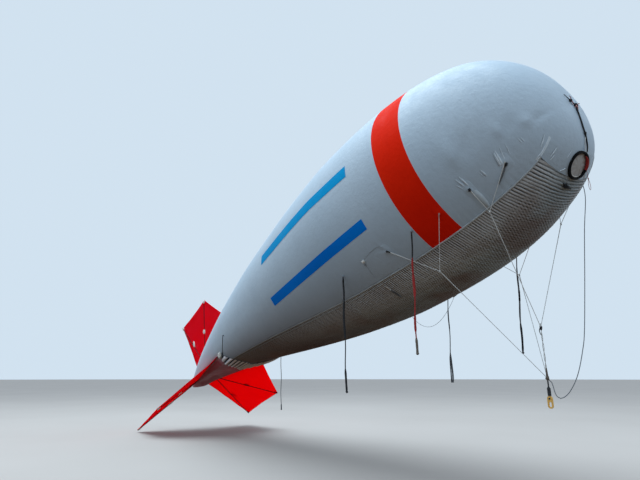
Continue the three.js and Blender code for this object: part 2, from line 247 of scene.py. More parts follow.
lens = bpy.data.cameras.new("camera")
lens.sensor_width = SENSOR
lens.lens = FOCAL_PIXELS / PHOTO_WIDTH * SENSOR
lens.clip_end = 500
bpy.context.scene.camera = aimed("camera", lens, CAMERA_AT, CAMERA_LOOK)
make_sky()
lamp = bpy.data.lights.new("sky_light", "AREA")
lamp.shape = "DISK"
lamp.size = 30
lamp.energy = 7500
lamp.color = (0.79, 0.92, 1.0)
aimed("sky_light", lamp, LIGHT_AT, LIT_PLACE - LIGHT_AT)
bpy.context.scene.view_settings.view_transform = "Standard"


# Materials

# Metres from band to band in a wave texture of scale 1
WAVE_PERIOD = 0.314
PANEL_LENGTH = 1.46
# Half the width of a panel seam's tape, as a share of the panel: without and with its full colour
TAPE_SHARE = (0.0085, 0.0065)
ROPE_LAY = 0.03


def tinted(colour, by):
    return tuple(float(v) for v in np.multiply(colour, by))


def weave_height(n, pitch):
    """Crossed threads of that pitch in metres, along the object's own axes."""
    inputs = {"Vector": n.coordinates, "Scale": WAVE_PERIOD / pitch, "Distortion": 0.6}
    waves = [n.new("ShaderNodeTexWave", inputs, bands_direction=axis) for axis in "XZ"]
    return n.times(*(wave.outputs["Fac"] for wave in waves))


def coated_fabric(name, light, dark, specular=0.35, on_hull=True):
    """Coated cloth; on the hull it also has welded panel seams, faint ripples, painted shade low on
    the sides aft, and painted red reflection of the fins with painted shade on the tail's
    underside.
    """
    n = Nodes(name, roughness=0.5, specular=specular)
    colour = n.mix(n.blotches(0.55, 5, 0.35, 0.68), dark, light)
    colour = n.mix(n.blotches(9, 3, 0.42, 0.75, 0.0, 0.2), colour, tinted(dark, 0.84))
    if on_hull:
        station, around = n.attribute("station"), n.attribute("azimuth")
        along = n.maths("FRACT", n.maths("MULTIPLY_ADD", station, 1 / PANEL_LENGTH, -0.39))
        near = n.maths("ABSOLUTE", n.maths("SUBTRACT", along, 0.5))
        tape = n.times(n.spread(near, *TAPE_SHARE), n.spread(station, 4.0, 6.0))
        colour = n.mix(n.times(tape, 0.2), colour, tinted(light, 0.86))
        n.bump(tape, 0.0015)
        place = n.new("ShaderNodeCombineXYZ", {0: n.times(station, 9.0), 1: n.times(around, 0.05)})
        n.bump(n.noise(1.0, 4, place.outputs[0], 0.6), 0.012, 0.5)
        # Painted shade: darker and greyer low on the sides aft. Painted red reflection of the fins,
        # with painted shade, on the tail's underside between the two lower fins
        low = n.times(n.spread(around, 76, 42), n.spread(station, 2.3, 10.0))
        shade = n.times(low, n.spread(station, 2.3, 10.0, 1.6, 0.92))
        colour = n.mix(shade, colour, tinted(dark, (0.31, 0.235, 0.225)))
        painted_fin_reflection = n.times(n.spread(around, 70, 58), n.spread(station, 10.25, 10.9))
        colour = n.mix(n.times(painted_fin_reflection, 0.97), colour, (0.34, 0.050, 0.065))
        dull = n.spread(n.maths("MAXIMUM", painted_fin_reflection, low), 0, 1, specular, 0.05)
        n.put(n.shader, {"Specular IOR Level": dull})
    n.bump(n.noise(16, 6, roughness=0.6), 0.010, 0.55)
    n.bump(weave_height(n, 0.003), 0.0003, 0.4)
    return n.finish(colour, n.blotches(5, 3, 0.3, 0.7, 0.42, 0.6))


def gathered_fabric(name, fore, aft, line):
    """Cloth in pleats, with painted shade between them and a painted highlight line on each. It
    goes from the fore to the aft colour, and has painted shade along the keel, darker than at the
    seams."""
    n = Nodes(name, roughness=0.85, specular=0.12)
    ridge, station = n.attribute("ridge"), n.attribute("station")
    beside = n.spread(n.attribute("side"), 0.25, 0.9)
    at_seam = n.mix(n.spread(station, 2.0, 8.0), fore, tinted(aft, 0.9))
    # Painted shade along the keel, browner aft
    shaded_at_keel = n.mix(n.spread(station, 2.0, 7.0), tinted(fore, (0.53, 0.575, 0.60)),
                    tinted(aft, (0.38, 0.24, 0.175)))
    colour = n.mix(beside, shaded_at_keel, at_seam)
    blotch = n.times(n.blotches(1.3, 5, 0.46, 0.66), n.spread(beside, 0.0, 1.0, 0.62, 0.35))
    colour = n.mix(blotch, colour, tinted(aft, (0.82, 0.52, 0.37)))
    colour = n.mix(n.blotches(38, 4, 0.4, 0.72, 0.0, 0.25), colour, tinted(fore, 0.3))
    # Painted shade in the gaps between the pleats
    painted_gap_shade = n.times(n.spread(ridge, 0.52, 0.10), n.spread(beside, 0.0, 1.0, 0.82, 1.0))
    colour = n.mix(painted_gap_shade, colour, (0.010, 0.015, 0.024))
    # Painted highlight: a light line along each pleat's ridge
    lines = n.times(n.spread(ridge, 0.68, 1.0), n.spread(station, 1.0, 9.0, 0.75, 0.4))
    colour = n.mix(n.times(lines, n.spread(beside, 0.0, 1.0, 0.45, 1.0)), colour, line)
    n.bump(n.noise(24, 5), 0.012, 0.6)
    n.bump(n.noise(60, 4), 0.004, 0.6)
    n.bump(weave_height(n, 0.006), 0.0006, 0.6)
    return n.finish(colour)


def rope_fabric(name, colour, second):
    """Braided cord, from the along and around attributes of its tube."""
    n = Nodes(name, roughness=0.8, specular=0.25)
    along = n.times(n.attribute("along"), 2 * math.pi / ROPE_LAY)
    around = n.times(n.attribute("around"), 4 * math.pi)
    strands = [n.maths("SINE", n.maths(way, along, around)) for way in ("ADD", "SUBTRACT")]
    braid = n.maths("MAXIMUM", *strands)
    threads = n.mix(n.spread(braid, -0.4, 1.0), second, colour)
    n.bump(braid, 0.0008)
    return n.finish(n.mix(n.blotches(30, 3, 0.45, 0.8, 0, 0.5), threads, tinted(colour, 0.75)))


def webbing(name, colour, second, far=None):
    """Woven tape; far is its colour towards the far end of a long run."""
    n = Nodes(name, roughness=0.75, specular=0.25)
    thread = weave_height(n, 0.004)
    woven = n.mix(n.spread(thread, 0.1, 0.8), second, colour)
    if far:
        woven = n.mix(n.spread(n.attribute("along"), 1.5, 8.0), woven, far)
    n.bump(thread, 0.0008)
    n.bump(n.noise(25, 4), 0.002, 0.4)
    return n.finish(n.mix(n.blotches(7, 3, 0.4, 0.7, 0, 0.35), woven, far or second))


def fin_cloth():
    """Thin red cloth that lets light through."""
    n = Nodes("fin_cloth", roughness=0.75, specular=0.0)
    n.put(n.shader, {"Subsurface Weight": 1.0, "Subsurface Radius": (1.0, 0.02, 0.03),
                     "Subsurface Scale": 0.3})
    n.bump(n.noise(5, 4), 0.02, 0.35)
    n.bump(weave_height(n, 0.004), 0.0004, 0.5)
    colour = n.mix(n.blotches(2.2, 5, 0.35, 0.65), (0.97, 0.004, 0.012), (1.0, 0.006, 0.016))
    return n.finish(colour, n.blotches(6, 3, 0.3, 0.7, 0.66, 0.85))


def worn_metal(name, colour, dull, metallic, roughness):
    n = Nodes(name, roughness=roughness, metallic=metallic)
    wear = n.blotches(45, 5, 0.42, 0.68)
    n.bump(n.noise(140, 3), 0.0006, 0.5)
    return n.finish(n.mix(wear, colour, dull), n.spread(wear, 0, 1, roughness, roughness + 0.25))


def black_rubber():
    n = Nodes("black_rubber", roughness=0.8, specular=0.05)
    n.bump(n.noise(70, 4), 0.001, 0.5)
    colour = n.mix(n.blotches(20, 4, 0.4, 0.75), (0.004, 0.004, 0.005), (0.014, 0.014, 0.016))
    return n.finish(colour, n.blotches(14, 3, 0.3, 0.7, 0.38, 0.62))


def pale_floor():
    n = Nodes("pale_floor", roughness=0.9, specular=0.1)
    n.bump(n.noise(0.6, 3), 0.01, 0.1)
    return n.finish(n.mix(n.blotches(0.15, 3, 0.3, 0.7), (0.52, 0.475, 0.445), (0.555, 0.51, 0.48)))


# Coated cloth: name, light and dark colour, gloss and whether it is on the hull
HULL_CLOTH = coated_fabric("hull_cloth", (0.545, 0.66, 0.77), (0.485, 0.60, 0.71))
RED_CLOTH = coated_fabric("red_cloth", (0.97, 0.024, 0.004), (0.90, 0.016, 0.003), 0.015)
BLUE_LIGHT = coated_fabric("blue_light_cloth", (0.002, 0.36, 0.74), (0.001, 0.3, 0.66), 0.02, False)
BLUE_DARK = coated_fabric("blue_dark_cloth", (0.001, 0.25, 0.90), (0.001, 0.20, 0.80), 0.02, False)
# Lighter and darker copies of the hull cloth: the fold and pull cloths are painted highlight on
# raised folds, the groove cloth is painted shade in the grooves beside them
LIT_FOLD_CLOTH = coated_fabric("lit_fold_cloth", (0.80, 0.90, 0.98), (0.72, 0.82, 0.91), 0.35, False)
LIT_PULL_CLOTH = coated_fabric("lit_pulled_cloth", (0.60, 0.69, 0.75), (0.53, 0.61, 0.67), 0.3, False)
GROOVE_CLOTH = coated_fabric("groove_cloth", (0.36, 0.43, 0.50), (0.30, 0.36, 0.43), 0.2, False)
COVER_CLOTH = coated_fabric("cover_cloth", (0.57, 0.565, 0.56), (0.49, 0.48, 0.475), 0.1, False)
WHITE_CLOTH = coated_fabric("white_cloth", (0.86, 0.85, 0.80), (0.74, 0.72, 0.67), 0.2, False)
# The elastic's dark brown aft colour is its pale cloth in painted shade, and the last colour of
# each is the painted highlight on the pleats
GATHERED = gathered_fabric("gathered_elastic", (0.86, 0.94, 1.0), (0.265, 0.215, 0.197),
                           (0.78, 0.83, 0.88))
RUFFLE = gathered_fabric("ruffle_cloth", (0.85, 0.84, 0.90), (0.95, 0.93, 1.0),
                         (0.95, 0.95, 0.98))
SEAM_TAPE = webbing("seam_tape", (0.62, 0.66, 0.68), (0.46, 0.49, 0.50), (0.20, 0.185, 0.165))
FIN_CLOTH = fin_cloth()
FIN_SLEEVE = webbing("fin_sleeve", (0.22, 0.008, 0.014), (0.11, 0.004, 0.008))
ROPE = rope_fabric("pale_rope", (0.84, 0.86, 0.85), (0.62, 0.63, 0.62))
GREY_ROPE = rope_fabric("grey_rope", (0.15, 0.16, 0.18), (0.09, 0.10, 0.11))
DARK_ROPE = rope_fabric("dark_rope", (0.030, 0.031, 0.036), (0.016, 0.017, 0.020))
RED_ROPE = rope_fabric("red_rope", (0.44, 0.035, 0.032), (0.24, 0.022, 0.022))
BROWN_ROPE = rope_fabric("brown_rope", (0.20, 0.165, 0.135), (0.11, 0.085, 0.07))
FAINT_CORD = rope_fabric("faint_cord", (0.30, 0.33, 0.36), (0.20, 0.22, 0.25))
PINK_CORD = rope_fabric("pink_cord", (0.66, 0.30, 0.28), (0.46, 0.18, 0.17))
RUBBER = black_rubber()
STEEL = worn_metal("dark_steel", (0.045, 0.048, 0.052), (0.02, 0.02, 0.022), 0.6, 0.45)
YELLOW = worn_metal("yellow_paint", (1.0, 0.60, 0.15), (0.78, 0.38, 0.06), 0.0, 0.4)


# Making pieces

def mesh_piece(name, points, faces, material, node=None, attributes=()):
    """A visible piece with its material slot and the CAD node that it stands for, if any."""
    data = bpy.data.meshes.new(name)
    data.from_pydata([tuple(p) for p in np.asarray(points, float)], [], faces)
    data.validate()
    data.materials.append(material)
    data.polygons.foreach_set("use_smooth", [True] * len(data.polygons))
    for key, values in dict(attributes).items():
        attribute = data.attributes.new(key, "FLOAT", "POINT")
        attribute.data.foreach_set("value", np.asarray(values, np.float32).ravel())
    piece = bpy.data.objects.new(name, data)
    bpy.context.collection.objects.link(piece)
    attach(piece, ROOT)
    if node:
        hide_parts(node)
    return piece


def grid_faces(rows, columns, wrap=False, first=0):
    """Quads of a grid of points, outward when rows run aft and columns run to port below."""
    i, j = np.mgrid[:rows - 1, :columns if wrap else columns - 1]
    k = (j + 1) % columns
    here, next_row = i * columns, (i + 1) * columns
    quads = np.stack([here + j, next_row + j, next_row + k, here + k], -1)
    return (quads.reshape(-1, 4) + first).tolist()


def grid_piece(name, points, material, slot, node=None, wrap=False, keep=None, **attributes):
    """A piece from a grid of points; keep says which points stay."""
    faces = grid_faces(*points.shape[:2], wrap)
    if keep is not None:
        kept = keep.ravel()
        faces = [f for f in faces if all(kept[v] for v in f)]
    return mesh_piece(name, points.reshape(-1, 3), faces, material, node, attributes)


def lengths_along(path):
    return np.concatenate([[0], np.cumsum(np.linalg.norm(np.diff(path, axis=0), axis=1))])


def smooth_path(points, step):
    """Points at even steps along a smooth curve through the given ones."""
    p = np.asarray([tuple(v) for v in points], float)
    if len(p) > 2:
        ends = np.vstack([2 * p[0] - p[1], p, 2 * p[-1] - p[-2]])
        t = np.linspace(0, 1, 24, endpoint=False)[:, None]
        p = np.vstack([*(
            0.5 * (2 * b + (c - a) * t + (2 * a - 5 * b + 4 * c - d) * t ** 2
                   + (3 * b - a - 3 * c + d) * t ** 3)
            for a, b, c, d in zip(ends, ends[1:], ends[2:], ends[3:])
        ), p[-1]])
    lengths = lengths_along(p)
    even = np.linspace(0, lengths[-1], max(2, round(lengths[-1] / step) + 1))
    return np.stack([np.interp(even, lengths, p[:, k]) for k in range(3)], axis=1)


def frames_along(path):
    """Two unit vectors square to the path at each of its points, with no twist."""
    tangents = np.gradient(path, axis=0)
    tangents /= np.linalg.norm(tangents, axis=1)[:, None]
    side = np.cross(tangents[0], (0, 0, 1) if abs(tangents[0][2]) < 0.9 else (1, 0, 0))
    sides = []
    for t in tangents:
        side = side - t * (side @ t)
        side = side / np.linalg.norm(side)
        sides.append(side)
    return np.array(sides), np.cross(tangents, sides)


def once_round(steps):
    return np.linspace(0, 2 * math.pi, steps + 1)[:-1]


class Collect:
    """Tubes and balls joined in one mesh; each call that adds some returns the collection."""

    def __init__(self):
        self.points, self.faces, self.along, self.around = [], [], [], []
        self.count = 0
        self.path = None

    def add_grid(self, points, along=None, around=None, caps=False):
        """Closed rings of points, one a row."""
        rows, columns = points.shape[:2]
        self.faces += [f[::-1] for f in grid_faces(rows, columns, True, self.count)]
        if caps:
            ring = list(range(self.count, self.count + columns))
            self.faces += [ring, [v + (rows - 1) * columns for v in ring][::-1]]
        self.points.append(points.reshape(-1, 3))
        for kept, values in ((self.along, along), (self.around, around)):
            kept.append(np.zeros(rows * columns) if values is None else np.ravel(values))
        self.count += rows * columns
        return self

    def tube(self, points, radius, step=0.04, sides=8, flat=1.0):
        """A round tube, or a strap where flat is below 1. The radius is one number, or several that
        are spread evenly over the path."""
        self.path = smooth_path(points, step)
        one, two = frames_along(self.path)
        radii = np.interp(np.linspace(0, 1, len(self.path)), np.linspace(0, 1, np.size(radius)),
                          np.atleast_1d(radius))
        angles = once_round(sides)
        ring = (one[:, None] * np.cos(angles)[:, None]
                + two[:, None] * (np.sin(angles) * flat)[:, None])
        along = np.repeat(lengths_along(self.path)[:, None], sides, 1)
        around = np.repeat((angles / (2 * math.pi))[None], len(self.path), 0)
        return self.add_grid(self.path[:, None] + ring * radii[:, None, None], along, around, True)

    def blob(self, centre, radii, lumps=0.12, seed=0):
        """A knot: an uneven ball with a winding groove."""
        u = np.linspace(0.12, math.pi - 0.12, 9)
        v = once_round(12)
        uu, vv = np.meshgrid(u, v, indexing="ij")
        size = (1 + lumps * np.sin(3 * vv + 4 * uu + seed)
                + 0.5 * lumps * np.sin(5 * uu - 2 * vv + seed))
        ball = np.stack([np.sin(uu) * np.cos(vv), np.sin(uu) * np.sin(vv), -np.cos(uu)], -1)
        points = np.asarray(tuple(centre)) + ball * size[..., None] * np.asarray(radii)
        return self.add_grid(points[:, ::-1], uu * 0.02, vv / (2 * math.pi), True)

    def piece(self, name, material, slot, node=None):
        lay = {"along": np.concatenate(self.along), "around": np.concatenate(self.around)}
        return mesh_piece(name, np.vstack(self.points), self.faces, material, node, lay)


def tube_piece(name, material, slot, points, radius, *form, node=None):
    """A piece that is one tube; form is its step, sides and flatness."""
    return Collect().tube(points, radius, *form).piece(name, material, slot, node)


def knot_piece(name, material, slot, centre, radii, *form):
    """A piece that is one knot; form is its lumps and seed."""
    return Collect().blob(centre, radii, *form).piece(name, material, slot)


def between(a, b, *shares):
    """Points at these shares of the way from a to b."""
    return [a.lerp(b, share) for share in shares]


SIDES = (("port", 1), ("starboard", -1))

# Hanging lines and the slack line. The routes are those of the part's solids.

LINE_STUB = 0.025
LINE_RADIUS = 0.009
LEEWARD = Vector((0.56, 0.83, 0))
# Line, station, azimuth, length, length of its thick end, lean per metre, rope, end's rope, slot
LINES = [
    ("line_fore_starboard", 2.335, -51.4, 1.57, 0.23, -0.007, RED_ROPE, BROWN_ROPE, "red_rope"),
    ("line_fore_port", 2.33, 51.4, 1.45, 0.52, -0.046, GREY_ROPE, DARK_ROPE, "dark_rope"),
    ("line_mid_starboard", 4.006, -52.9, 1.55, 0.375, 0.016, DARK_ROPE, DARK_ROPE, "dark_rope"),
    ("line_mid_port", 4.115, 52.9, 1.44, 0.58, -0.018, GREY_ROPE, GREY_ROPE, "rope"),
    ("line_aft_starboard", 9.59, -79.0, 0.42, 0.08, 0.037, DARK_ROPE, DARK_ROPE, "dark_rope"),
    ("line_aft_port", 10.26, 80.6, 1.87, 0.16, 0.022, GREY_ROPE, GREY_ROPE, "dark_rope"),
]
# Sleeves over the lines: line, from, to, radius, material. Distances are down from the top.
SLEEVES = [
    ("line_fore_starboard", 0.0, 0.42, 0.0115, DARK_ROPE),
    ("line_fore_starboard", 0.42, 0.64, 0.014, RED_ROPE),
    ("line_fore_starboard", 0.64, 0.98, 0.019, RED_ROPE),
    ("line_fore_starboard", 1.24, 1.48, 0.0165, RED_ROPE),
    ("line_mid_starboard", 0.0, 0.36, 0.016, DARK_ROPE),
    ("line_mid_starboard", 0.36, 1.04, 0.019, DARK_ROPE),
    ("line_fore_port", 0.45, 1.45, 0.0145, GREY_ROPE),
    ("line_fore_port", 0.84, 1.08, 0.0165, DARK_ROPE),
    ("line_mid_port", 0.55, 1.0, 0.0125, GREY_ROPE),
]
SLEEVE_SWELL = np.array([0.7, 0.95, 1.06, 0.95, 1.05, 0.93, 1.05, 0.97, 0.7])
TAIL_RADII = [0.012, 0.019, 0.017, 0.018, 0.016, 0.018, 0.012]
# Strands of the forked end: share of its length, share of the spread
FORK = ((0, 0), (0.25, 0.7), (0.8, 1), (1, 0.8))
WAVE = 0.007


def line_place(line, down):
    """The point on a hanging line so far down from its top."""
    _, station, azimuth, _, _, lean = line[:6]
    top = hull_point(station, azimuth, LINE_STUB)
    wave = WAVE * math.sin(7.5 * down + 3 * station) * min(1, max(0, down) / 0.3)
    return top + (LEEWARD * lean + Vector((0, 0, -1))) * down + LEEWARD * wave


for line in LINES:
    name, station, azimuth, length, end, lean, rope, end_rope, slot = line
    root = hull_point(station, azimuth)
    foot = length + end - 0.006
    shares = (0, 0.02, *np.linspace(0.08, 1, 13))
    tube = Collect().tube([root, *(line_place(line, foot * k) for k in shares)], LINE_RADIUS, 0.05)
    cord = tube.piece(name + "_rope", rope, slot, name)
    tail = Collect()
    if name == "line_mid_port":
        for aside in (-0.022, 0.022):
            fork = [line_place(line, length + end * k) + LEEWARD * (aside * w) for k, w in FORK]
            tail.tube(fork, 0.0095, 0.03)
    else:
        tail.tube([line_place(line, length + end * k) for k in (0, 0.5, 1)], TAIL_RADII, 0.02)
    tail.blob(line_place(line, length + end - 0.018), (0.022, 0.022, 0.018), 0.1)
    on_it = [tail.piece(name + "_tail", end_rope, slot, name + "_end")]
    for k, (owner, start, stop, radius, material) in enumerate(SLEEVES):
        if owner == name:
            places = [line_place(line, start + (stop - start) * t) for t in np.linspace(0, 1, 9)]
            on_it.append(tube_piece(f"{name}_sleeve_{k}", material, slot, places,
                                    radius * SLEEVE_SWELL, 0.03))
    on_it.append(knot_piece(name + "_cap", GROOVE_CLOTH, "patch_fabric",
                            line_place(line, -0.008), (0.02, 0.02, 0.014), 0.08))

SLACK_RADIUS = 0.006
KNOT = Vector((4.19, 0.343, -2.52))
KNOT_RADIUS = 0.03
SLACK_POINTS = [
    (4.733, 1.102, 0.2), (4.679, 1.026, -0.343), (4.614, 0.935, -1.119), (4.548, 0.843, -1.852),
    (4.509, 0.789, -2.134), (4.439, 0.691, -2.478), (4.356, 0.574, -2.706), (4.284, 0.474, -2.79),
    (4.245, 0.412, -2.745), (4.224, 0.386, -2.585),
]
slack_start = hull_point(0.705, 51.5, 0.007)
slack_end = KNOT + (Vector(SLACK_POINTS[-1]) - KNOT).normalized() * KNOT_RADIUS
slack = Collect().tube([slack_start, *SLACK_POINTS, slack_end], SLACK_RADIUS, 0.05)
slack_rope = slack.piece("slack_rope", FAINT_CORD, "rope", "slack_line")

# A thin slack cord under the belly, between two points of its port side
THIN_RADIUS = 0.003
SAG_ENDS = (Vector((1.242, 0.712, -1.329)), Vector((2.44, 0.678, -1.03)))
SAG_LOW, SAG_BEND = (1.70, -1.58), 1.1
SAG_SIDE, SAG_DRIFT = 0.747, -0.0285
sag = [Vector((x, SAG_SIDE + SAG_DRIFT * x, SAG_LOW[1] + SAG_BEND * (x - SAG_LOW[0]) ** 2))
       for x in np.linspace(1.27, 2.40, 15)]
sagging = Collect().tube([SAG_ENDS[0], *sag, SAG_ENDS[1]], THIN_RADIUS, 0.03, 6)
sagging_cord = sagging.piece("belly_slack_cord", FAINT_CORD, "rope")

# The thin loop that hangs from the strap on the port's ring: y and z at an x that hardly changes
LOOP_X = [5.202, 5.197, 5.192] + [5.19] * 15
LOOP_YZ = [
    (0.264, 0.285), (0.276, 0.25), (0.29, 0.21), (0.297, 0.175), (0.296, 0.14), (0.287, 0.11),
    (0.281, 0.08), (0.279, 0.05), (0.282, 0.02), (0.292, -0.006), (0.307, -0.016), (0.322, -0.006),
    (0.331, 0.02), (0.332, 0.05), (0.328, 0.08), (0.319, 0.11), (0.307, 0.135), (0.302, 0.148),
]
loop_points = [Vector((x, y, z)) for x, (y, z) in zip(LOOP_X, LOOP_YZ)]
loop = Collect().tube(loop_points, THIN_RADIUS, 0.012, 6)
ring_loop = loop.piece("ring_loop", PINK_CORD, "red_rope")
ring_loop_knot = knot_piece("ring_loop_knot", PINK_CORD, "red_rope", (5.19, 0.30, 0.15),
                            (0.009, 0.009, 0.012), 0.15)


# Skin of the envelope with its creases

# Creases in the skin: station and azimuth at the foot and at the head, height and width in metres.
# They are pulled up by the load patches, the front ends of the two seams and the aft lines.
CREASES = [
    (0.797, 48.8, 0.756, 59.5, 0.017, 0.020), (0.822, 49.2, 0.778, 59.3, 0.015, 0.018),
    (0.74, 50.5, 0.69, 60.0, 0.005, 0.017), (1.015, 50.1, 1.027, 55.4, 0.011, 0.018),
    (1.045, 50.5, 1.06, 54.5, 0.004, 0.016), (0.652, 52.2, 0.621, 59.7, 0.004, 0.018),
    (0.455, 53.6, 0.455, 58.4, 0.004, 0.016), (0.48, 54.0, 0.485, 59.0, 0.004, 0.016),
    (1.264, 52.2, 1.287, 59.4, 0.013, 0.020), (1.31, 53.0, 1.347, 59.5, 0.011, 0.018),
    (1.345, 52.5, 1.39, 57.0, 0.006, 0.017), (1.27, 50.5, 1.32, 36.5, 0.012, 0.030),
    (2.92, 51.5, 2.99, 58.0, 0.007, 0.030), (2.90, 51.5, 2.86, 57.0, 0.006, 0.030),
    (2.93, 50.0, 3.10, 51.0, 0.005, 0.030), (0.372, 43.5, 0.289, 48.3, 0.006, 0.016),
    (0.34, 44.5, 0.255, 50.5, 0.005, 0.016), (0.372, 32.6, 0.258, 33.9, 0.010, 0.015),
    (0.40, 30.6, 0.325, 31.2, 0.008, 0.015), (0.289, 19.4, 0.185, 18.6, 0.004, 0.015),
    (0.437, 18.0, 0.372, 14.2, 0.011, 0.016), (1.23, 60.0, 1.18, 84.0, 0.026, 0.090),
    (0.34, 60.0, 0.30, 76.0, 0.018, 0.050), (0.62, 62.0, 0.60, 78.0, 0.015, 0.050),
    (9.74, 79.0, 9.62, 66.0, 0.006, 0.026), (9.74, 82.0, 9.90, 96.0, 0.006, 0.026),
    (9.76, 79.0, 9.95, 66.0, 0.007, 0.026),
]
# Creases narrower than this get a fold of cloth of their own, and the skin only this share of them
FINE_CREASE = 0.025
FINE_SHARE = 0.15
# Creases wider than this rise slowly from their foot
BROAD_CREASE = 0.04
PATCH_STATIONS = (0.75, 1.29, 1.82, 2.92)
PATCH_AZIMUTH = 50.5
# How far the seams flare at the nose in degrees, the station where they do and over what length
SEAM_FLARE, FLARE_STATION, FLARE_LENGTH = 8.5, 0.26, 0.16
# Metres from pucker to pucker along the seams, and how far the skin is drawn in under the belly
PUCKER_PITCH, UNDERCUT = 0.083, 0.024


def metres_per_degree(station):
    return radius_at(station) * math.pi / 180


def seam_line(station):
    """Azimuth of the belly's seam: that of the CAD solids, flared where it ends near the nose."""
    return seam_azimuth(station) + SEAM_FLARE * np.exp(-(station - FLARE_STATION) / FLARE_LENGTH)


def crease_height(station, side):
    total = np.zeros(np.broadcast(station, side).shape)
    for s0, a0, s1, a1, height, width in CREASES:
        r = float(metres_per_degree(0.5 * (s0 + s1)))
        across, along = (a1 - a0) * r, s1 - s0
        length = math.hypot(across, along)
        u = ((station - s0) * along + (side - a0) * r * across) / length
        v = (-(station - s0) * across + (side - a0) * r * along) / length
        if width < FINE_CREASE:
            height = FINE_SHARE * height
        rise_over = 0.04 if width < BROAD_CREASE else 0.5 * length
        window = smoothstep(u, -0.02, rise_over) * (1 - smoothstep(u, 0.35 * length, 1.1 * length))
        spread = width * (0.8 + 0.8 * np.clip(u / length, 0, 1))
        beside = np.exp(-((v - 2.0 * spread) / (1.3 * spread)) ** 2)
        total += height * window * (np.exp(-(v / spread) ** 2) - 0.55 * beside)
    return total


def skin_out(station, azimuth):
    """How far the visible skin lies outside the plain hull."""
    side = np.abs((azimuth + 180) % 360 - 180)
    r = metres_per_degree(station)
    out = crease_height(station, side)
    for s0 in PATCH_STATIONS:
        reach = np.hypot(station - s0, (side - PATCH_AZIMUTH) * r)
        out += 0.012 * np.exp(-(reach / 0.05) ** 2) - 0.006 * np.exp(-(reach / 0.22) ** 2)
    from_seam = (side - seam_line(station)) * r
    pucker = np.where(from_seam > 0, np.exp(-from_seam / 0.10), 0) * smoothstep(station, 0.3, 0.7)
    pucker *= 1 - smoothstep(station, 9.8, 10.3)
    wave = np.sin(2 * math.pi * station / PUCKER_PITCH + 3 * np.sin(2.1 * station) + side * 0.05)
    out += 0.0022 * pucker * wave
    under = smoothstep(seam_line(station) - side, 0.15, 1.0) * smoothstep(station, 0.45, 0.50)
    out -= UNDERCUT * under * (station < BELLY_END)
    turn = np.radians(azimuth)
    return out + 0.004 * np.sin(1.9 * station + 2 * turn) * np.sin(3 * turn + 0.7 * station)


def azimuth_steps(dense_from, dense_to, fine, coarse, middle):
    """Azimuths once round from -180, finer in a zone mirrored to both sides."""
    def run(a, b, step):
        return list(np.linspace(a, b, max(2, round((b - a) / step) + 1))[:-1])
    port = run(0, dense_from, middle) + run(dense_from, dense_to, fine) + run(dense_to, 180, coarse)
    return np.array([-180.0] + [-a for a in port[:0:-1]] + port)


PORT_DOWN, PORT_ASIDE = math.radians(47), math.radians(7)
level = math.cos(PORT_DOWN)
PORT_AXIS = to_world([level * math.cos(PORT_ASIDE), -level * math.sin(PORT_ASIDE),
                      -math.sin(PORT_DOWN)])
PORT_CENTRE = hull(0.298, -2)
PORT_HOLE = 0.186

# Section, first and last station, row spacing, azimuth steps, material, slot
dense = azimuth_steps(24, 70, 0.42, 2.6, 0.85)
plain = azimuth_steps(34, 70, 1.2, 3.0, 3.0)
SKIN = [
    ("nose", 0.0, BELLY_START, 0.010, dense, HULL_CLOTH, "envelope_fabric"),
    ("fore", BELLY_START, RED_BAND[0], 0.011, dense, HULL_CLOTH, "envelope_fabric"),
    ("band", *RED_BAND, 0.012, dense, RED_CLOTH, "red_band"),
    ("mid", RED_BAND[1], BELLY_SPLIT, 0.019, plain, HULL_CLOTH, "envelope_fabric"),
    ("aft", BELLY_SPLIT, BELLY_END, 0.021, plain, HULL_CLOTH, "envelope_fabric"),
    ("tail", BELLY_END, HULL_LENGTH, 0.03, plain, HULL_CLOTH, "envelope_fabric"),
]
for name, start, end, spacing, azimuths, material, slot in SKIN:
    rows = round((end - start) / spacing) + 1
    if start == 0:
        stations = end * np.linspace(0, 1, rows) ** 1.7
    elif end == HULL_LENGTH:
        stations = end - (end - start) * np.linspace(1, 0, rows) ** 1.3
    else:
        stations = np.linspace(start, end, rows)
    s, a = np.meshgrid(stations, azimuths, indexing="ij")
    points = hull(s, a, skin_out(s, a))
    keep = None
    if start == 0:
        away = points - PORT_CENTRE
        off_axis = away - (away @ PORT_AXIS)[..., None] * PORT_AXIS
        keep = (np.linalg.norm(off_axis, axis=-1) > PORT_HOLE) | (away @ PORT_AXIS < -0.4)
    elif start < BELLY_END:
        keep = np.abs(a) > seam_azimuth(s) - 2.5
    grid_piece(f"skin_{name}", points, material, slot, f"envelope_{name}", True, keep,
               station=s, azimuth=np.abs(a))

# Fine folds in the cloth at the patches and seam heads: a ridge in lit cloth as a painted
# highlight, with a tube of dark cloth beside it as painted shade in the groove
RIDGE_TAPER = np.array([0.25, 1, 1.1, 0.9, 0.5, 0.1])
GROOVE_TAPER = np.array([0.1, 0.45, 0.5, 0.4, 0.1])
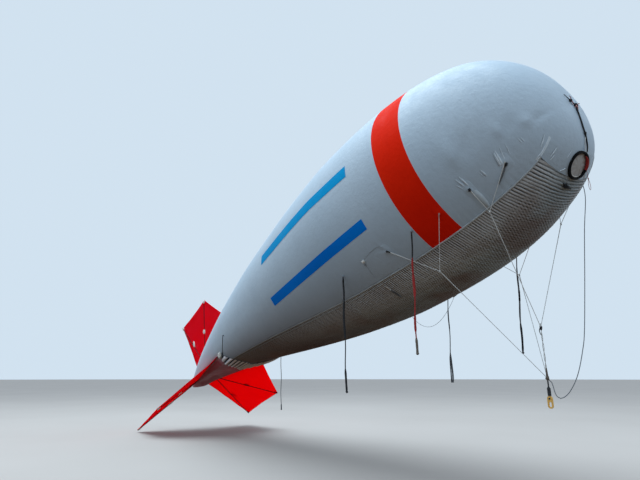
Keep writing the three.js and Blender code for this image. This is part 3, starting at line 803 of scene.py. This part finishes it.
# The wide pull below the second patch, in lighter cloth as a painted highlight on its ridge:
# stations, azimuths, radii and how deep its middle lies
PULL_STATIONS = np.array([1.268, 1.262, 1.262, 1.27, 1.28])
PULL_AZIMUTHS = np.array([50.5, 47.5, 43.5, 39.5, 35.8])
PULL_RADII, PULL_DEPTH = [0.03, 0.052, 0.058, 0.054, 0.04], 0.034
for side, sign in SIDES:
    ridges, grooves = Collect(), Collect()
    for s0, a0, s1, a1, height, width in CREASES:
        if width >= FINE_CREASE:
            continue
        share = np.linspace(0, 1, 9)
        s = s0 + (s1 - s0) * share
        a = a0 + (a1 - a0) * share
        r = float(metres_per_degree(0.5 * (s0 + s1)))
        length = math.hypot((a1 - a0) * r, s1 - s0)
        thick = 0.72 * height + 0.0015
        ridges.tube(hull(s, sign * a, skin_out(s, sign * a)), RIDGE_TAPER * thick, 0.02)
        aside = 1.25 * thick + 0.004
        s = s + aside * (a1 - a0) * r / length
        a = a - aside * (s1 - s0) / length / r
        grooves.tube(hull(s, sign * a, skin_out(s, sign * a)), GROOVE_TAPER * thick, 0.02, 6)
    tube_piece(f"skin_pull_{side}", LIT_PULL_CLOTH, "envelope_fabric",
               hull(PULL_STATIONS, sign * PULL_AZIMUTHS, -PULL_DEPTH), PULL_RADII, 0.03, 16)
    ridges.piece(f"skin_lit_folds_{side}", LIT_FOLD_CLOTH, "envelope_fabric")
    grooves.piece(f"skin_groove_shade_{side}", GROOVE_CLOTH, "envelope_fabric")

# Belly: transverse pleats of the gathered elastic, crossed by slanted sets that grow to the middle

PLEAT = 0.041
SLANT = 0.47
PLEAT_DEPTH = 0.011
# Station at which the gathers start, behind the port
BELLY_FRONT = 0.445


def pleats(station, azimuth):
    """Height from 0 to 1 of the gathers: arcs near the nose, crossing slanted sets further aft."""
    y = radius_at(station) * np.radians(azimuth)
    across = np.clip(np.abs(azimuth) / seam_azimuth(station), 0, 1)
    wander = (0.5 * np.sin(3.1 * y + 1.7 * station) + 0.45 * np.sin(7.3 * y - 2.9 * station + 1)
              + 0.4 * np.sin(5.3 * station)
              + 0.3 * np.sin(19 * y + 11 * station) * np.sin(13 * station - 5 * y))
    bow = 0.115 * (1 - smoothstep(station, 0.5, 2.5)) * y ** 2
    turn = 2 * math.pi / PLEAT
    main = np.sin(turn * (station - bow) + 1.3 * wander)
    to_port = np.sin(turn * (station - SLANT * y) + 1.6 * wander + 1)
    to_starboard = np.sin(turn * (station + SLANT * y) - 1.6 * wander)
    middle = smoothstep(1 - across, 0.08, 0.55) * (0.15 + 0.85 * smoothstep(station, 0.6, 1.15))
    fade = 1 - 0.3 * smoothstep(station, 5.5, 8.5)
    fade = fade * (0.85 + 0.25 * np.sin(8.7 * y + 6.1 * station) * np.sin(23 * station + 4 * y))
    together = (1 - 0.8 * middle) * main + middle * (0.62 * to_port + 0.48 * to_starboard)
    return 0.5 + 0.5 * np.clip(together * fade, -1, 1)


for name, first, end in (("fore", BELLY_FRONT, BELLY_SPLIT), ("aft", BELLY_SPLIT, BELLY_END)):
    length = end - first
    t = np.linspace(0, 1, round(length / (PLEAT / 5.2)) + 1)[:, None]
    side = np.linspace(-1, 1, 73)[None]
    s = first + 0 * side + length * t
    a = side * seam_line(s)
    ridge = pleats(s, a)
    depth, base = PLEAT_DEPTH, 0.0
    if name == "fore":
        depth, base = PLEAT_DEPTH * smoothstep(s - first, 0, 0.12), 0.002
    depth = depth * (1 - 0.3 * smoothstep(s, 5.5, 9))
    depth = depth * (0.75 + 0.25 * smoothstep(1 - np.abs(side), 0, 0.15))
    y = radius_at(s) * np.radians(a)
    fine = 0.003 * np.sin(90 * s + a) * np.sin(31 * y + 9 * np.sin(3 * s))
    rest_front = np.where(s < 0.46, 0.005, 0.0)
    out = depth * (ridge - 0.55) + fine + base + rest_front
    belly = grid_piece(f"belly_gathers_{name}", hull(s, a, out), GATHERED, "belly_elastic",
                       f"belly_{name}", ridge=ridge, station=s, side=np.abs(side) + 0 * s)

# Seams of the belly: a light piping on the skin's edge and a thin cord inside it
PIPING_RADII = [0.008] + [0.015] * 8 + [0.012] * 20
SEAM_POINTS, CORD_FROM = 508, 68
WELT_START, WELT_END = 0.245, 0.50
for side, sign in SIDES:
    s = np.linspace(0.44, BELLY_END + 0.05, SEAM_POINTS)
    ladder = 0.0012 * np.sin(2 * math.pi * s / PLEAT)
    tape = Collect().tube(hull(s, sign * seam_line(s), 0.004 + ladder), PIPING_RADII, 0.02, 6)
    s, ladder = s[CORD_FROM:], ladder[CORD_FROM:]
    inner = seam_line(s) - np.degrees(0.062 / np.maximum(0.3, radius_at(s)))
    tape.tube(hull(s, sign * inner, 0.008 + ladder), [0.001, 0.005] + [0.006] * 4, 0.02, 6)
    tape.piece(f"belly_seam_{side}", SEAM_TAPE, "belly_elastic")

    # Its head, a double welt of cloth in front of the gathers, in the lit fold cloth as a painted
    # highlight
    s = np.linspace(WELT_START, WELT_END, 52)[:, None]
    x = np.linspace(-1, 1, 15)[None]
    aside = np.abs(x)
    welt = 0.0095 * np.exp(-((aside - 0.55) / 0.24) ** 2) - 0.005 * smoothstep(aside, 0.75, 1.0)
    welt = welt * (smoothstep(s, WELT_START, 0.29) - 0.8 * smoothstep(s, 0.45, WELT_END))
    rungs = 0.003 * (1 - aside) * (0.5 + 0.5 * np.sin(4 * math.pi * s / PLEAT))
    a = sign * (seam_line(s) + 1.2) + np.degrees(0.021 * x / radius_at(s))
    head = hull(s + 0 * x, a, skin_out(s, a) + welt + rungs)
    grid_piece(f"belly_seam_head_{side}", head, LIT_FOLD_CLOTH, "envelope_fabric")

tube_piece("belly_front_hem", GROOVE_CLOTH, "belly_elastic",
           hull(BELLY_FRONT, np.linspace(-39, 39, 60), 0.005),
           [0.006, 0.003, 0.003, 0.003, 0.006], 0.02, 6)

# Gathered pale end of the belly in front of the tail, under the elastic's last hem
RUFFLE_HALF = 57
u = np.linspace(-1, 1, 281)[None]
v = np.linspace(0, 1, 13)[:, None]
last_row = v > 11.5 / 12
spread_out = np.abs(u) * RUFFLE_HALF
ruffle_start = 9.9 + 0.42 * np.exp(-(spread_out / 17) ** 2) + 0.28 * smoothstep(spread_out, 44, 57)
ruffle_width = (0.40 + 0.40 * (1 - u ** 2)) * (1 - 0.55 * smoothstep(np.abs(u), 0.8, 1.0))
ruffle_station = ruffle_start + ruffle_width * np.minimum(1, v * 12 / 11)
ruffle_ridge = 0.5 + 0.5 * np.sin(50 * u + 1.2 * np.sign(u) * v + 1.3 * np.sin(9 * u))
flare = 0.055 * smoothstep(v, -0.1, 0.9) + 0.034 * (ruffle_ridge - 0.45) * smoothstep(v, 0, 0.25)
ruffle_points = hull(ruffle_station, u * RUFFLE_HALF, 0.010 + np.where(last_row, -0.02, flare))
ruffle = grid_piece("belly_end_gather", ruffle_points, RUFFLE, "envelope_fabric",
                    ridge=ruffle_ridge, station=ruffle_station, side=np.ones(ruffle_ridge.shape))
tube_piece("belly_end_elastic", GREY_ROPE, "belly_elastic",
           hull(ruffle_start[0], u[0] * RUFFLE_HALF, 0.012), 0.009, 0.03, 6)

# The knotted ends of the belly's two seams, white cloth with a dark cord
# Tuft: station, azimuth, out, size, seed
TUFTS = ((10.37, 61.0, 0.05, 0.055, 1), (10.42, 63.2, 0.04, 0.05, 4), (10.35, 63.4, 0.03, 0.045, 2),
         (10.46, 60.2, 0.035, 0.045, 3), (10.45, 58.6, 0.02, 0.04, 5))
for side, sign in SIDES:
    tuft = Collect()
    for s, a, out, size, seed in TUFTS:
        tuft.blob(hull_point(s, sign * a, out), (size, 0.8 * size, 1.1 * size), 0.28, seed)
    tuft.piece(f"seam_end_tuft_{side}", WHITE_CLOTH, "patch_fabric")
    knot_piece(f"seam_end_knot_{side}", DARK_ROPE, "dark_rope",
               hull_point(10.29, sign * 57.6, 0.02), (0.035, 0.035, 0.04), 0.2, 2)

# Two plain blue stripes along each flank: name, azimuth at the fore and the aft end, width, cloth
STRIPES = [("upper", 102.2, 102.9, 0.225, BLUE_LIGHT), ("lower", 68.9, 66.9, 0.19, BLUE_DARK)]
STRIPE_ENDS = (2.96, 6.38)
for side, sign in SIDES:
    for row, at_fore, at_aft, width, material in STRIPES:
        s = np.linspace(*STRIPE_ENDS, 120)[:, None]
        half = np.degrees(width / 2 / radius_at(s))
        a = sign * np.linspace(at_fore, at_aft, 120)[:, None] + np.linspace(-1, 1, 9)[None] * half
        s = s + 0 * a
        grid_piece(f"stripe_{row}_{side}", hull(s, a, skin_out(s, a) + 0.0035), material,
                   "envelope_fabric")

# Nose port: black ring with a clamp band, and a slack cover


def around_port(radius, height, angle):
    """Points about the port's axis; angle 0 is the top of the ring."""
    up = np.array([0, 0, 1.0])
    one = up - PORT_AXIS * (up @ PORT_AXIS)
    one /= np.linalg.norm(one)
    radius, height, angle = (v[..., None] for v in np.broadcast_arrays(radius, height, angle))
    ring = np.cos(angle) * one + np.sin(angle) * np.cross(PORT_AXIS, one)
    return PORT_CENTRE + radius * ring + height * PORT_AXIS


turn = once_round(96)[None]
# Radius and height of the ring's section
RING = np.array([
    (0.172, -0.075), (0.1985, -0.076), (0.1985, -0.012), (0.1995, -0.008), (0.1995, 0.012),
    (0.1985, 0.019), (0.195, 0.025), (0.188, 0.028), (0.176, 0.027), (0.169, 0.023),
    (0.166, 0.016), (0.165, -0.02), (0.165, -0.075),
])
grid_piece("port_ring_rubber", around_port(RING[:, :1], RING[:, 1:], turn), RUBBER,
           "port_black", "port_ring", True)

COVER_RADIUS = 0.172
r = np.linspace(0.0005, COVER_RADIUS, 26)[:, None]
share = r / COVER_RADIUS
folds = 0.004 * np.sin(9 * turn + 14 * r) * share ** 2 + 0.002 * np.sin(23 * turn) * share ** 3
dome = -0.006 + 0.012 * np.cos(share * math.pi / 2)
grid_piece("port_cover_cloth", around_port(r, dome + folds, turn), COVER_CLOTH,
           "port_cover", "port_cover", True)

# A white arc inside the ring's lower edge: a painted highlight on the cover's rim
tube_piece("port_cover_edge_highlight", WHITE_CLOTH, "port_cover",
           around_port(0.158, 0.006, np.radians(np.linspace(95, 235, 30))),
           [0.002, 0.006, 0.008, 0.008, 0.005, 0.002], 0.01, 6)

# Tail fins

FIN_AXIS_DROOP = math.radians(5.7)
# Corners and the rods' feet, aft of the hull's tail end and out from the tail's axis
ROOT_FORE, TIP_FORE, TIP_AFT, ROOT_AFT = np.array([
    (-3.76, 0.8), (-2.11, 2.34), (0.11, 2.30), (-0.7, 0.28),
])
ROD_FOOT, ROD_SPREAD = (-1.33, 0.42), 0.07
# Pale pads over the rods and at the two tips: aft and out of the middle, half length and half width
FIN_MARKS = [(-1.71, 1.34, 0.085, 0.085), (-0.70, 1.31, 0.06, 0.12),
             (-2.09, 2.29, 0.06, 0.06), (0.06, 2.25, 0.06, 0.06)]
FIN_HALF = 0.006
ROD_RADIUS = 0.012
TAIL_END = np.array([ORIGIN_STATION - HULL_LENGTH, 0, float(rise_at(HULL_LENGTH))])
# Fin, degrees round from the top, side of its rods
FINS = [("top", 0, -1), ("port", 120, 1), ("starboard", -120, -1)]
GUSSET_START, GUSSET_END, GUSSET_SHARE = 10.68, 11.5, 0.16


def fin_point(around, aft, out, across):
    """Row-frame points from aft and out in the fin's plane and across it."""
    back = np.array([-math.cos(FIN_AXIS_DROOP), 0, -math.sin(FIN_AXIS_DROOP)])
    up = np.array([-math.sin(FIN_AXIS_DROOP), 0, math.cos(FIN_AXIS_DROOP)])
    turn = math.radians(around)
    outward = up * math.cos(turn) + np.array([0, math.sin(turn), 0])
    aft, out, across = (v[..., None] for v in np.broadcast_arrays(aft, out, across))
    return to_world(TAIL_END + aft * back + out * outward + across * np.cross(back, outward))


def fin_plane(u, v):
    """Aft and out at u from the leading to the trailing edge and v from the root to the tip."""
    v_in = np.clip(v, 0, 1)
    drawn_in = (0.02 * np.sin(math.pi * v_in) * (2 * u - 1) ** 5,
                0.03 * np.sin(math.pi * u) * v_in ** 6)
    corners = zip(ROOT_FORE, ROOT_AFT, TIP_FORE, TIP_AFT, drawn_in)
    return [(fore + (aft - fore) * u) * (1 - v) + (tip_fore + (tip_aft - tip_fore) * u) * v - less
            for fore, aft, tip_fore, tip_aft, less in corners]


def fin_flutter(u, v):
    """Waves in a fin's cloth, small enough for the rods to stay on their own side of it."""
    return (0.005 * np.sin(5.3 * u + 4 * v) * np.sin(math.pi * v)
            + 0.003 * np.sin(17 * u * v + 3 * v))


def fin_root_azimuth(around, stations):
    """Where the fin's plane meets the hull, in degrees from straight down."""
    if around == 0:
        return np.full(len(stations), 180.0)
    origin = fin_point(around, 0, 0, 0)
    square = fin_point(around, 0, 0, 1) - origin
    trial = np.sign(around) * np.linspace(40, 80, 81)
    across = (hull(stations[:, None], trial[None]) - origin) @ square
    rising = 1 if across[0, -1] > across[0, 0] else -1
    return np.array([np.interp(0, row[::rising], trial[::rising]) for row in across])


for name, around, rod_side in FINS:
    u, v = np.meshgrid(np.linspace(0, 1, 61), np.linspace(-0.12, 1, 61), indexing="ij")
    aft, out = fin_plane(u, v)
    v = np.clip(v, 0, 1)
    inset = np.minimum(np.minimum(u, 1 - u), 1 - v)
    puff = FIN_HALF * (0.35 + 0.65 * smoothstep(inset, 0, 0.05))
    flutter = fin_flutter(u, v)
    both = np.concatenate([fin_point(around, aft, out, flutter + puff),
                           fin_point(around, aft, out, flutter - puff)[::-1]])
    panel = Collect().add_grid(both.transpose(1, 0, 2), caps=True)
    panel = panel.piece(f"fin_{name}_cloth", FIN_CLOTH, "fin_fabric", f"fin_{name}")

    hem = Collect()
    t = np.linspace(0, 1, 30)
    for u, v in ((0 * t, t), (1 + 0 * t, t), (t, 1 + 0 * t)):
        hem.tube(fin_point(around, *fin_plane(u, v), fin_flutter(u, v)), 0.008, 0.04, 6)
    hem.piece(f"fin_{name}_hem", FIN_CLOTH, "fin_fabric")

    # Gusset from the leading edge forward along the hull
    rise = np.linspace(0, 1, 14)
    edge = fin_point(around, *fin_plane(0.0, GUSSET_SHARE), 0)
    start = hull(GUSSET_START, fin_root_azimuth(around, np.array([GUSSET_START]))[0], 0.012)
    top = start + (edge - start) * rise[:, None]
    foot_station = GUSSET_START + (GUSSET_END - GUSSET_START) * rise
    foot_azimuth = fin_root_azimuth(around, foot_station)
    foot = hull(foot_station, foot_azimuth, -0.03)
    square = fin_point(around, 0, 0, 0.004) - fin_point(around, 0, 0, 0)
    section = np.stack([top + square, top - square, foot - square, foot + square], axis=1)
    gusset = Collect().add_grid(section, caps=True).tube(top, 0.008, 0.03, 6)
    gusset.tube(hull(foot_station, foot_azimuth + 0.4, 0.002), 0.007, 0.03, 6)
    gusset.piece(f"fin_{name}_gusset", FIN_CLOTH, "fin_fabric")

    offset = rod_side * (FIN_HALF + ROD_RADIUS)
    for end, tip, shift in (("fore", TIP_FORE, -ROD_SPREAD), ("aft", TIP_AFT, ROD_SPREAD)):
        foot = fin_point(around, ROD_FOOT[0] + shift, ROD_FOOT[1], offset)
        tube_piece(f"fin_{name}_sleeve_{end}", FIN_SLEEVE, "fin_rod",
                   [foot, fin_point(around, *tip, offset)], ROD_RADIUS, 0.1,
                   node=f"fin_{name}_rod_{end}")
    # The pads of the port fin are on its other face, so they don't show from below
    marks = Collect()
    mark_side, bulge = (-rod_side, 0.0) if name == "port" else (rod_side, 2 * ROD_RADIUS)
    r = np.linspace(0.02, 1, 7)[:, None]
    turn = once_round(24)[None]
    lift = mark_side * (FIN_HALF + 0.006 + (bulge + 0.004) * (1 - smoothstep(r, 0.7, 1.0) ** 2))
    for aft, out, long, wide in FIN_MARKS:
        aft, out = aft + long * r * np.cos(turn), out + wide * r * np.sin(turn)
        marks.add_grid(fin_point(around, aft, out, lift))
    marks.piece(f"fin_{name}_marks", WHITE_CLOTH, "fin_fabric")

# Load patches

PATCH_HALF = (0.072, 0.125)
for side, sign in SIDES:
    for i, station in enumerate(PATCH_STATIONS, 1):
        rr = np.linspace(0.0, 1, 12)[:, None]
        tt = once_round(48)[None]
        reach = rr / (np.abs(np.cos(tt)) ** 5 + np.abs(np.sin(tt)) ** 5) ** 0.2
        s = station + PATCH_HALF[0] * reach * np.cos(tt)
        half_turn = PATCH_HALF[1] / float(metres_per_degree(station))
        a = sign * PATCH_AZIMUTH + half_turn * reach * np.sin(tt)
        lift = skin_out(s, a) + 0.0025 * (1 - smoothstep(rr, 0.90, 1.0)) + 0.0008
        cloth = RED_CLOTH if RED_BAND[0] < station < RED_BAND[1] else HULL_CLOTH
        grid_piece(f"patch_{side}_{i}", hull(s, a, lift), cloth, "patch_fabric",
                   f"load_patch_{side}_{i}", True, station=s, azimuth=np.abs(a))

# Rigging

LEG = 0.0045
THICK_LEG = 0.008
STRAND, STRAND_TURNS = 0.0045, 2.5
RISER_HEAD = Vector((4.229, 0.271, -1.815))
JUNCTIONS = {
    ("starboard", "front"): Vector((4.353, -0.819, -0.317)),
    ("starboard", "rear"): Vector((3.435, -0.872, -0.993)),
    ("port", "front"): Vector((4.307, 1.07, -0.141)),
    ("port", "rear"): Vector((3.385, 1.204, -0.8)),
}
for side, sign in SIDES:
    feet = [hull_point(s, sign * PATCH_AZIMUTH, 0.006) for s in PATCH_STATIONS]
    for row, pair, goal in (("front", feet[:2], RISER_HEAD), ("rear", feet[2:], KNOT)):
        junction = JUNCTIONS[side, row]
        legs = Collect()
        for foot in pair:
            thick = LEG if foot is feet[2] else THICK_LEG
            radii = [thick, thick, 0.5 * (thick + LEG)] + [LEG] * 4
            legs.tube([foot, junction], radii, 0.05)
            legs.blob(foot + (junction - foot).normalized() * 0.012, (0.012, 0.012, 0.014), 0.15)
        legs.tube([junction, goal], [0.0065, LEG, LEG, LEG], 0.06)
        legs.blob(junction, (0.013, 0.013, 0.018), 0.16, 1)
        legs.piece(f"bridle_legs_{row}_{side}", ROPE, "rope", f"bridle_{row}_{side}")

# Riser of two strands that wind round each other
riser = Collect()
riser_run = KNOT - RISER_HEAD
riser_side = riser_run.cross(Vector((0, 0, 1))).normalized()
riser_front = riser_run.cross(riser_side).normalized()
share = np.linspace(0, 1, 41)
for strand in (0, math.pi):
    twist = share * 2 * math.pi * STRAND_TURNS + strand
    apart = 0.0075 * np.sin(math.pi * share) ** 0.5
    outward = [riser_side * math.cos(w) + riser_front * math.sin(w) for w in twist]
    wound = [RISER_HEAD + riser_run * k + v * d for k, v, d in zip(share, outward, apart)]
    riser.tube(wound, STRAND, 0.02, 6)
riser.blob(RISER_HEAD + Vector((0, 0, 0.02)), (0.014, 0.014, 0.03), 0.16, 2)
riser.piece("bridle_riser_rope", ROPE, "rope", "bridle_riser")
knot = Collect().blob(KNOT, (KNOT_RADIUS * 0.85, KNOT_RADIUS * 0.85, KNOT_RADIUS), 0.14, 3)
knot.tube(between(RISER_HEAD, KNOT, 0.8, 0.9, 1), [0.009, 0.013, 0.015, 0.02], 0.02)
knot.piece("gathering_knot", BROWN_ROPE, "dark_rope", "bridle_knot")
head = Collect().blob(RISER_HEAD - Vector((0, 0, 0.012)), (0.019, 0.019, 0.032), 0.18, 5)
loose_end = ((0, 0, 0.01), (-0.015, -0.02, -0.05), (-0.005, -0.01, -0.115))
head.tube([RISER_HEAD + Vector(p) for p in loose_end], [0.007, 0.006, 0.004], 0.015, 6)
head.piece("riser_head_knot", DARK_ROPE, "dark_rope")

# Ties at the load patches: cord, size, station, azimuth
TIES = [
    (DARK_ROPE, 1.0, 0.765, 48.9), (DARK_ROPE, 0.9, PATCH_STATIONS[1], PATCH_AZIMUTH),
    (PINK_CORD, 0.4, PATCH_STATIONS[2], PATCH_AZIMUTH),
    (DARK_ROPE, 0.8, PATCH_STATIONS[3], PATCH_AZIMUTH),
]
for side, sign in SIDES:
    for i, (material, size, station, azimuth) in enumerate(TIES):
        junction = JUNCTIONS[side, "front" if i < 2 else "rear"]
        foot = hull_point(station, sign * azimuth, 0.008)
        tie = Collect().blob(foot, (0.024 * size, 0.02 * size, 0.026 * size), 0.25, i)
        if i == 0:
            tube_piece(f"patch_strap_{side}", GREY_ROPE, "dark_rope",
                       between(foot, junction, 0, 0.2, 0.42),
                       [0.010, 0.012, 0.015, 0.012, 0.006], 0.03)
        else:
            tie.tube(between(foot, junction, 0, 0.03, 0.07), [0.011, 0.009], 0.02)
        slot = "dark_rope" if material is DARK_ROPE else "rope"
        tie.piece(f"patch_tie_{side}_{i + 1}", material, slot)


def on_skin(out, sign, *places):
    """Points on the hull through (station, azimuth) places, the azimuths given for port."""
    return [hull_point(s, sign * a, out) for s, a in places]


# Small fittings behind the last patch and a strap's end that lies on the belly
for side, sign in SIDES:
    cords = Collect().tube(on_skin(0.003, sign, (2.90, 52.6), (2.97, 54.6), (3.07, 55.3),
                                   (3.18, 55.1), (3.28, 54.5), (3.42, 53.6)), 0.0022, 0.03, 6)
    cords.tube(on_skin(0.002, sign, (3.44, 52.0), (3.455, 49.5), (3.48, 46.0), (3.50, 42.0)),
               0.0018, 0.03, 6)
    cords.blob(hull_point(3.445, sign * 51.4, 0.008), (0.016, 0.014, 0.018), 0.2, 1)
    cords.piece(f"skin_cords_{side}", FAINT_CORD, "dark_rope")
    knot_piece(f"skin_button_{side}", WHITE_CLOTH, "patch_fabric",
               hull_point(3.43, sign * 53.2, 0.012), (0.03, 0.03, 0.03), 0.1, 2)
    tube_piece(f"belly_strap_{side}", ROPE, "rope",
               on_skin(0.018, sign, (3.495, 34.4), (3.50, 32.6), (3.505, 30.8)),
               0.013, 0.03, 8, 0.5)
    tube_piece(f"belly_strap_end_{side}", GREY_ROPE, "dark_rope",
               on_skin(0.020, sign, (3.505, 30.8), (3.515, 27.0), (3.53, 22.8)),
               0.013, 0.03, 8, 0.6)

# Tied spill opening in the belly behind the port
spill = Collect().tube(on_skin(0.014, -1, (0.535, 8.5), (0.55, 5.5), (0.556, 2.5), (0.562, -1.0),
                               (0.572, -3.5)), [0.006, 0.02, 0.026, 0.018, 0.008], 0.02)
spill.blob(hull_point(0.553, -5.0, 0.02), (0.03, 0.024, 0.03), 0.25, 3)
spill.piece("belly_spill_tie", DARK_ROPE, "dark_rope")


# Nose cord, laced over the nose to the port's ring, with its knots and loose ends
def lifted(points):
    return [Vector(p) + Vector((0.013, 0, 0.004)) for p in points]


thin = lifted([(5.237, -0.129, 1.293), (5.25, -0.08, 1.256), (5.26, -0.017, 1.225),
               (5.275, 0.072, 1.169)])
main = lifted([(5.275, 0.072, 1.169), (5.295, 0.052, 1.089), (5.315, 0.037, 0.995),
               (5.33, 0.037, 0.895), (5.337, 0.048, 0.795), (5.336, 0.078, 0.706),
               (5.326, 0.109, 0.628), (5.311, 0.14, 0.55), (5.300, 0.125, 0.452)])
pale = lifted([(5.328, 0.085, 0.65), (5.325, 0.075, 0.619), (5.311, 0.077, 0.55),
               (5.303, 0.082, 0.47), (5.302, 0.08, 0.445)])
nose_cord = Collect().tube(thin, [0.005, 0.007, 0.009], 0.02)
nose_cord.tube(main, [0.015, 0.012, 0.011, 0.0105, 0.011, 0.010, 0.009], 0.025)
for p, size, seed in ((thin[2], 0.022, 0), (main[0], 0.03, 2), (main[5], 0.02, 4)):
    nose_cord.blob(p, (size * 0.9, size, size), 0.25, seed)
nose_cord.piece("nose_cord", DARK_ROPE, "dark_rope")
ends = Collect()
for a, run in ((thin[2], (0.0, -0.05, 0.05)), (thin[2], (0.0, 0.02, -0.07)),
               (main[0], (0.02, 0.05, 0.03)), (main[0], (0.01, -0.06, -0.06)),
               (main[0], (0.02, -0.02, -0.09))):
    middle = a + Vector(run) / 2 + Vector((0.02, 0, 0.008))
    end = a + Vector(run) + Vector((0.012, 0, 0))
    ends.tube([a, middle, end], [0.006, 0.0055, 0.004], 0.012, 6)
ends.piece("nose_cord_ends", PINK_CORD, "red_rope")
tube_piece("nose_cord_strand", ROPE, "rope", pale, 0.006, 0.02, 6)
strap_angles = np.radians(np.linspace(342, 262, 16))
ring_strap = Collect().tube(around_port(0.155, 0.020, strap_angles),
                            [0.006, 0.014, 0.018, 0.018, 0.017, 0.010], 0.015)
ring_strap.tube(around_port(0.172, 0.029, strap_angles[5:]), [0.004, 0.010, 0.012, 0.010], 0.015)
ring_strap.piece("ring_strap", RED_ROPE, "red_rope")

# The CAD nodes that show as they are
SHOWN = {"swivel_head": STEEL, "swivel_foot": STEEL, "link_pin": STEEL, "tether_link": YELLOW}
for node, material in SHOWN.items():
    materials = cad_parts[node].data.materials
    materials.clear()
    materials.append(material)

# Floor

bpy.ops.mesh.primitive_circle_add(vertices=96, radius=400, fill_type="TRIFAN",
                                  location=(0, 0, FLOOR_Z))
floor = bpy.context.object
floor.name = "floor"
floor.visible_diffuse = False
floor.data.materials.append(pale_floor())
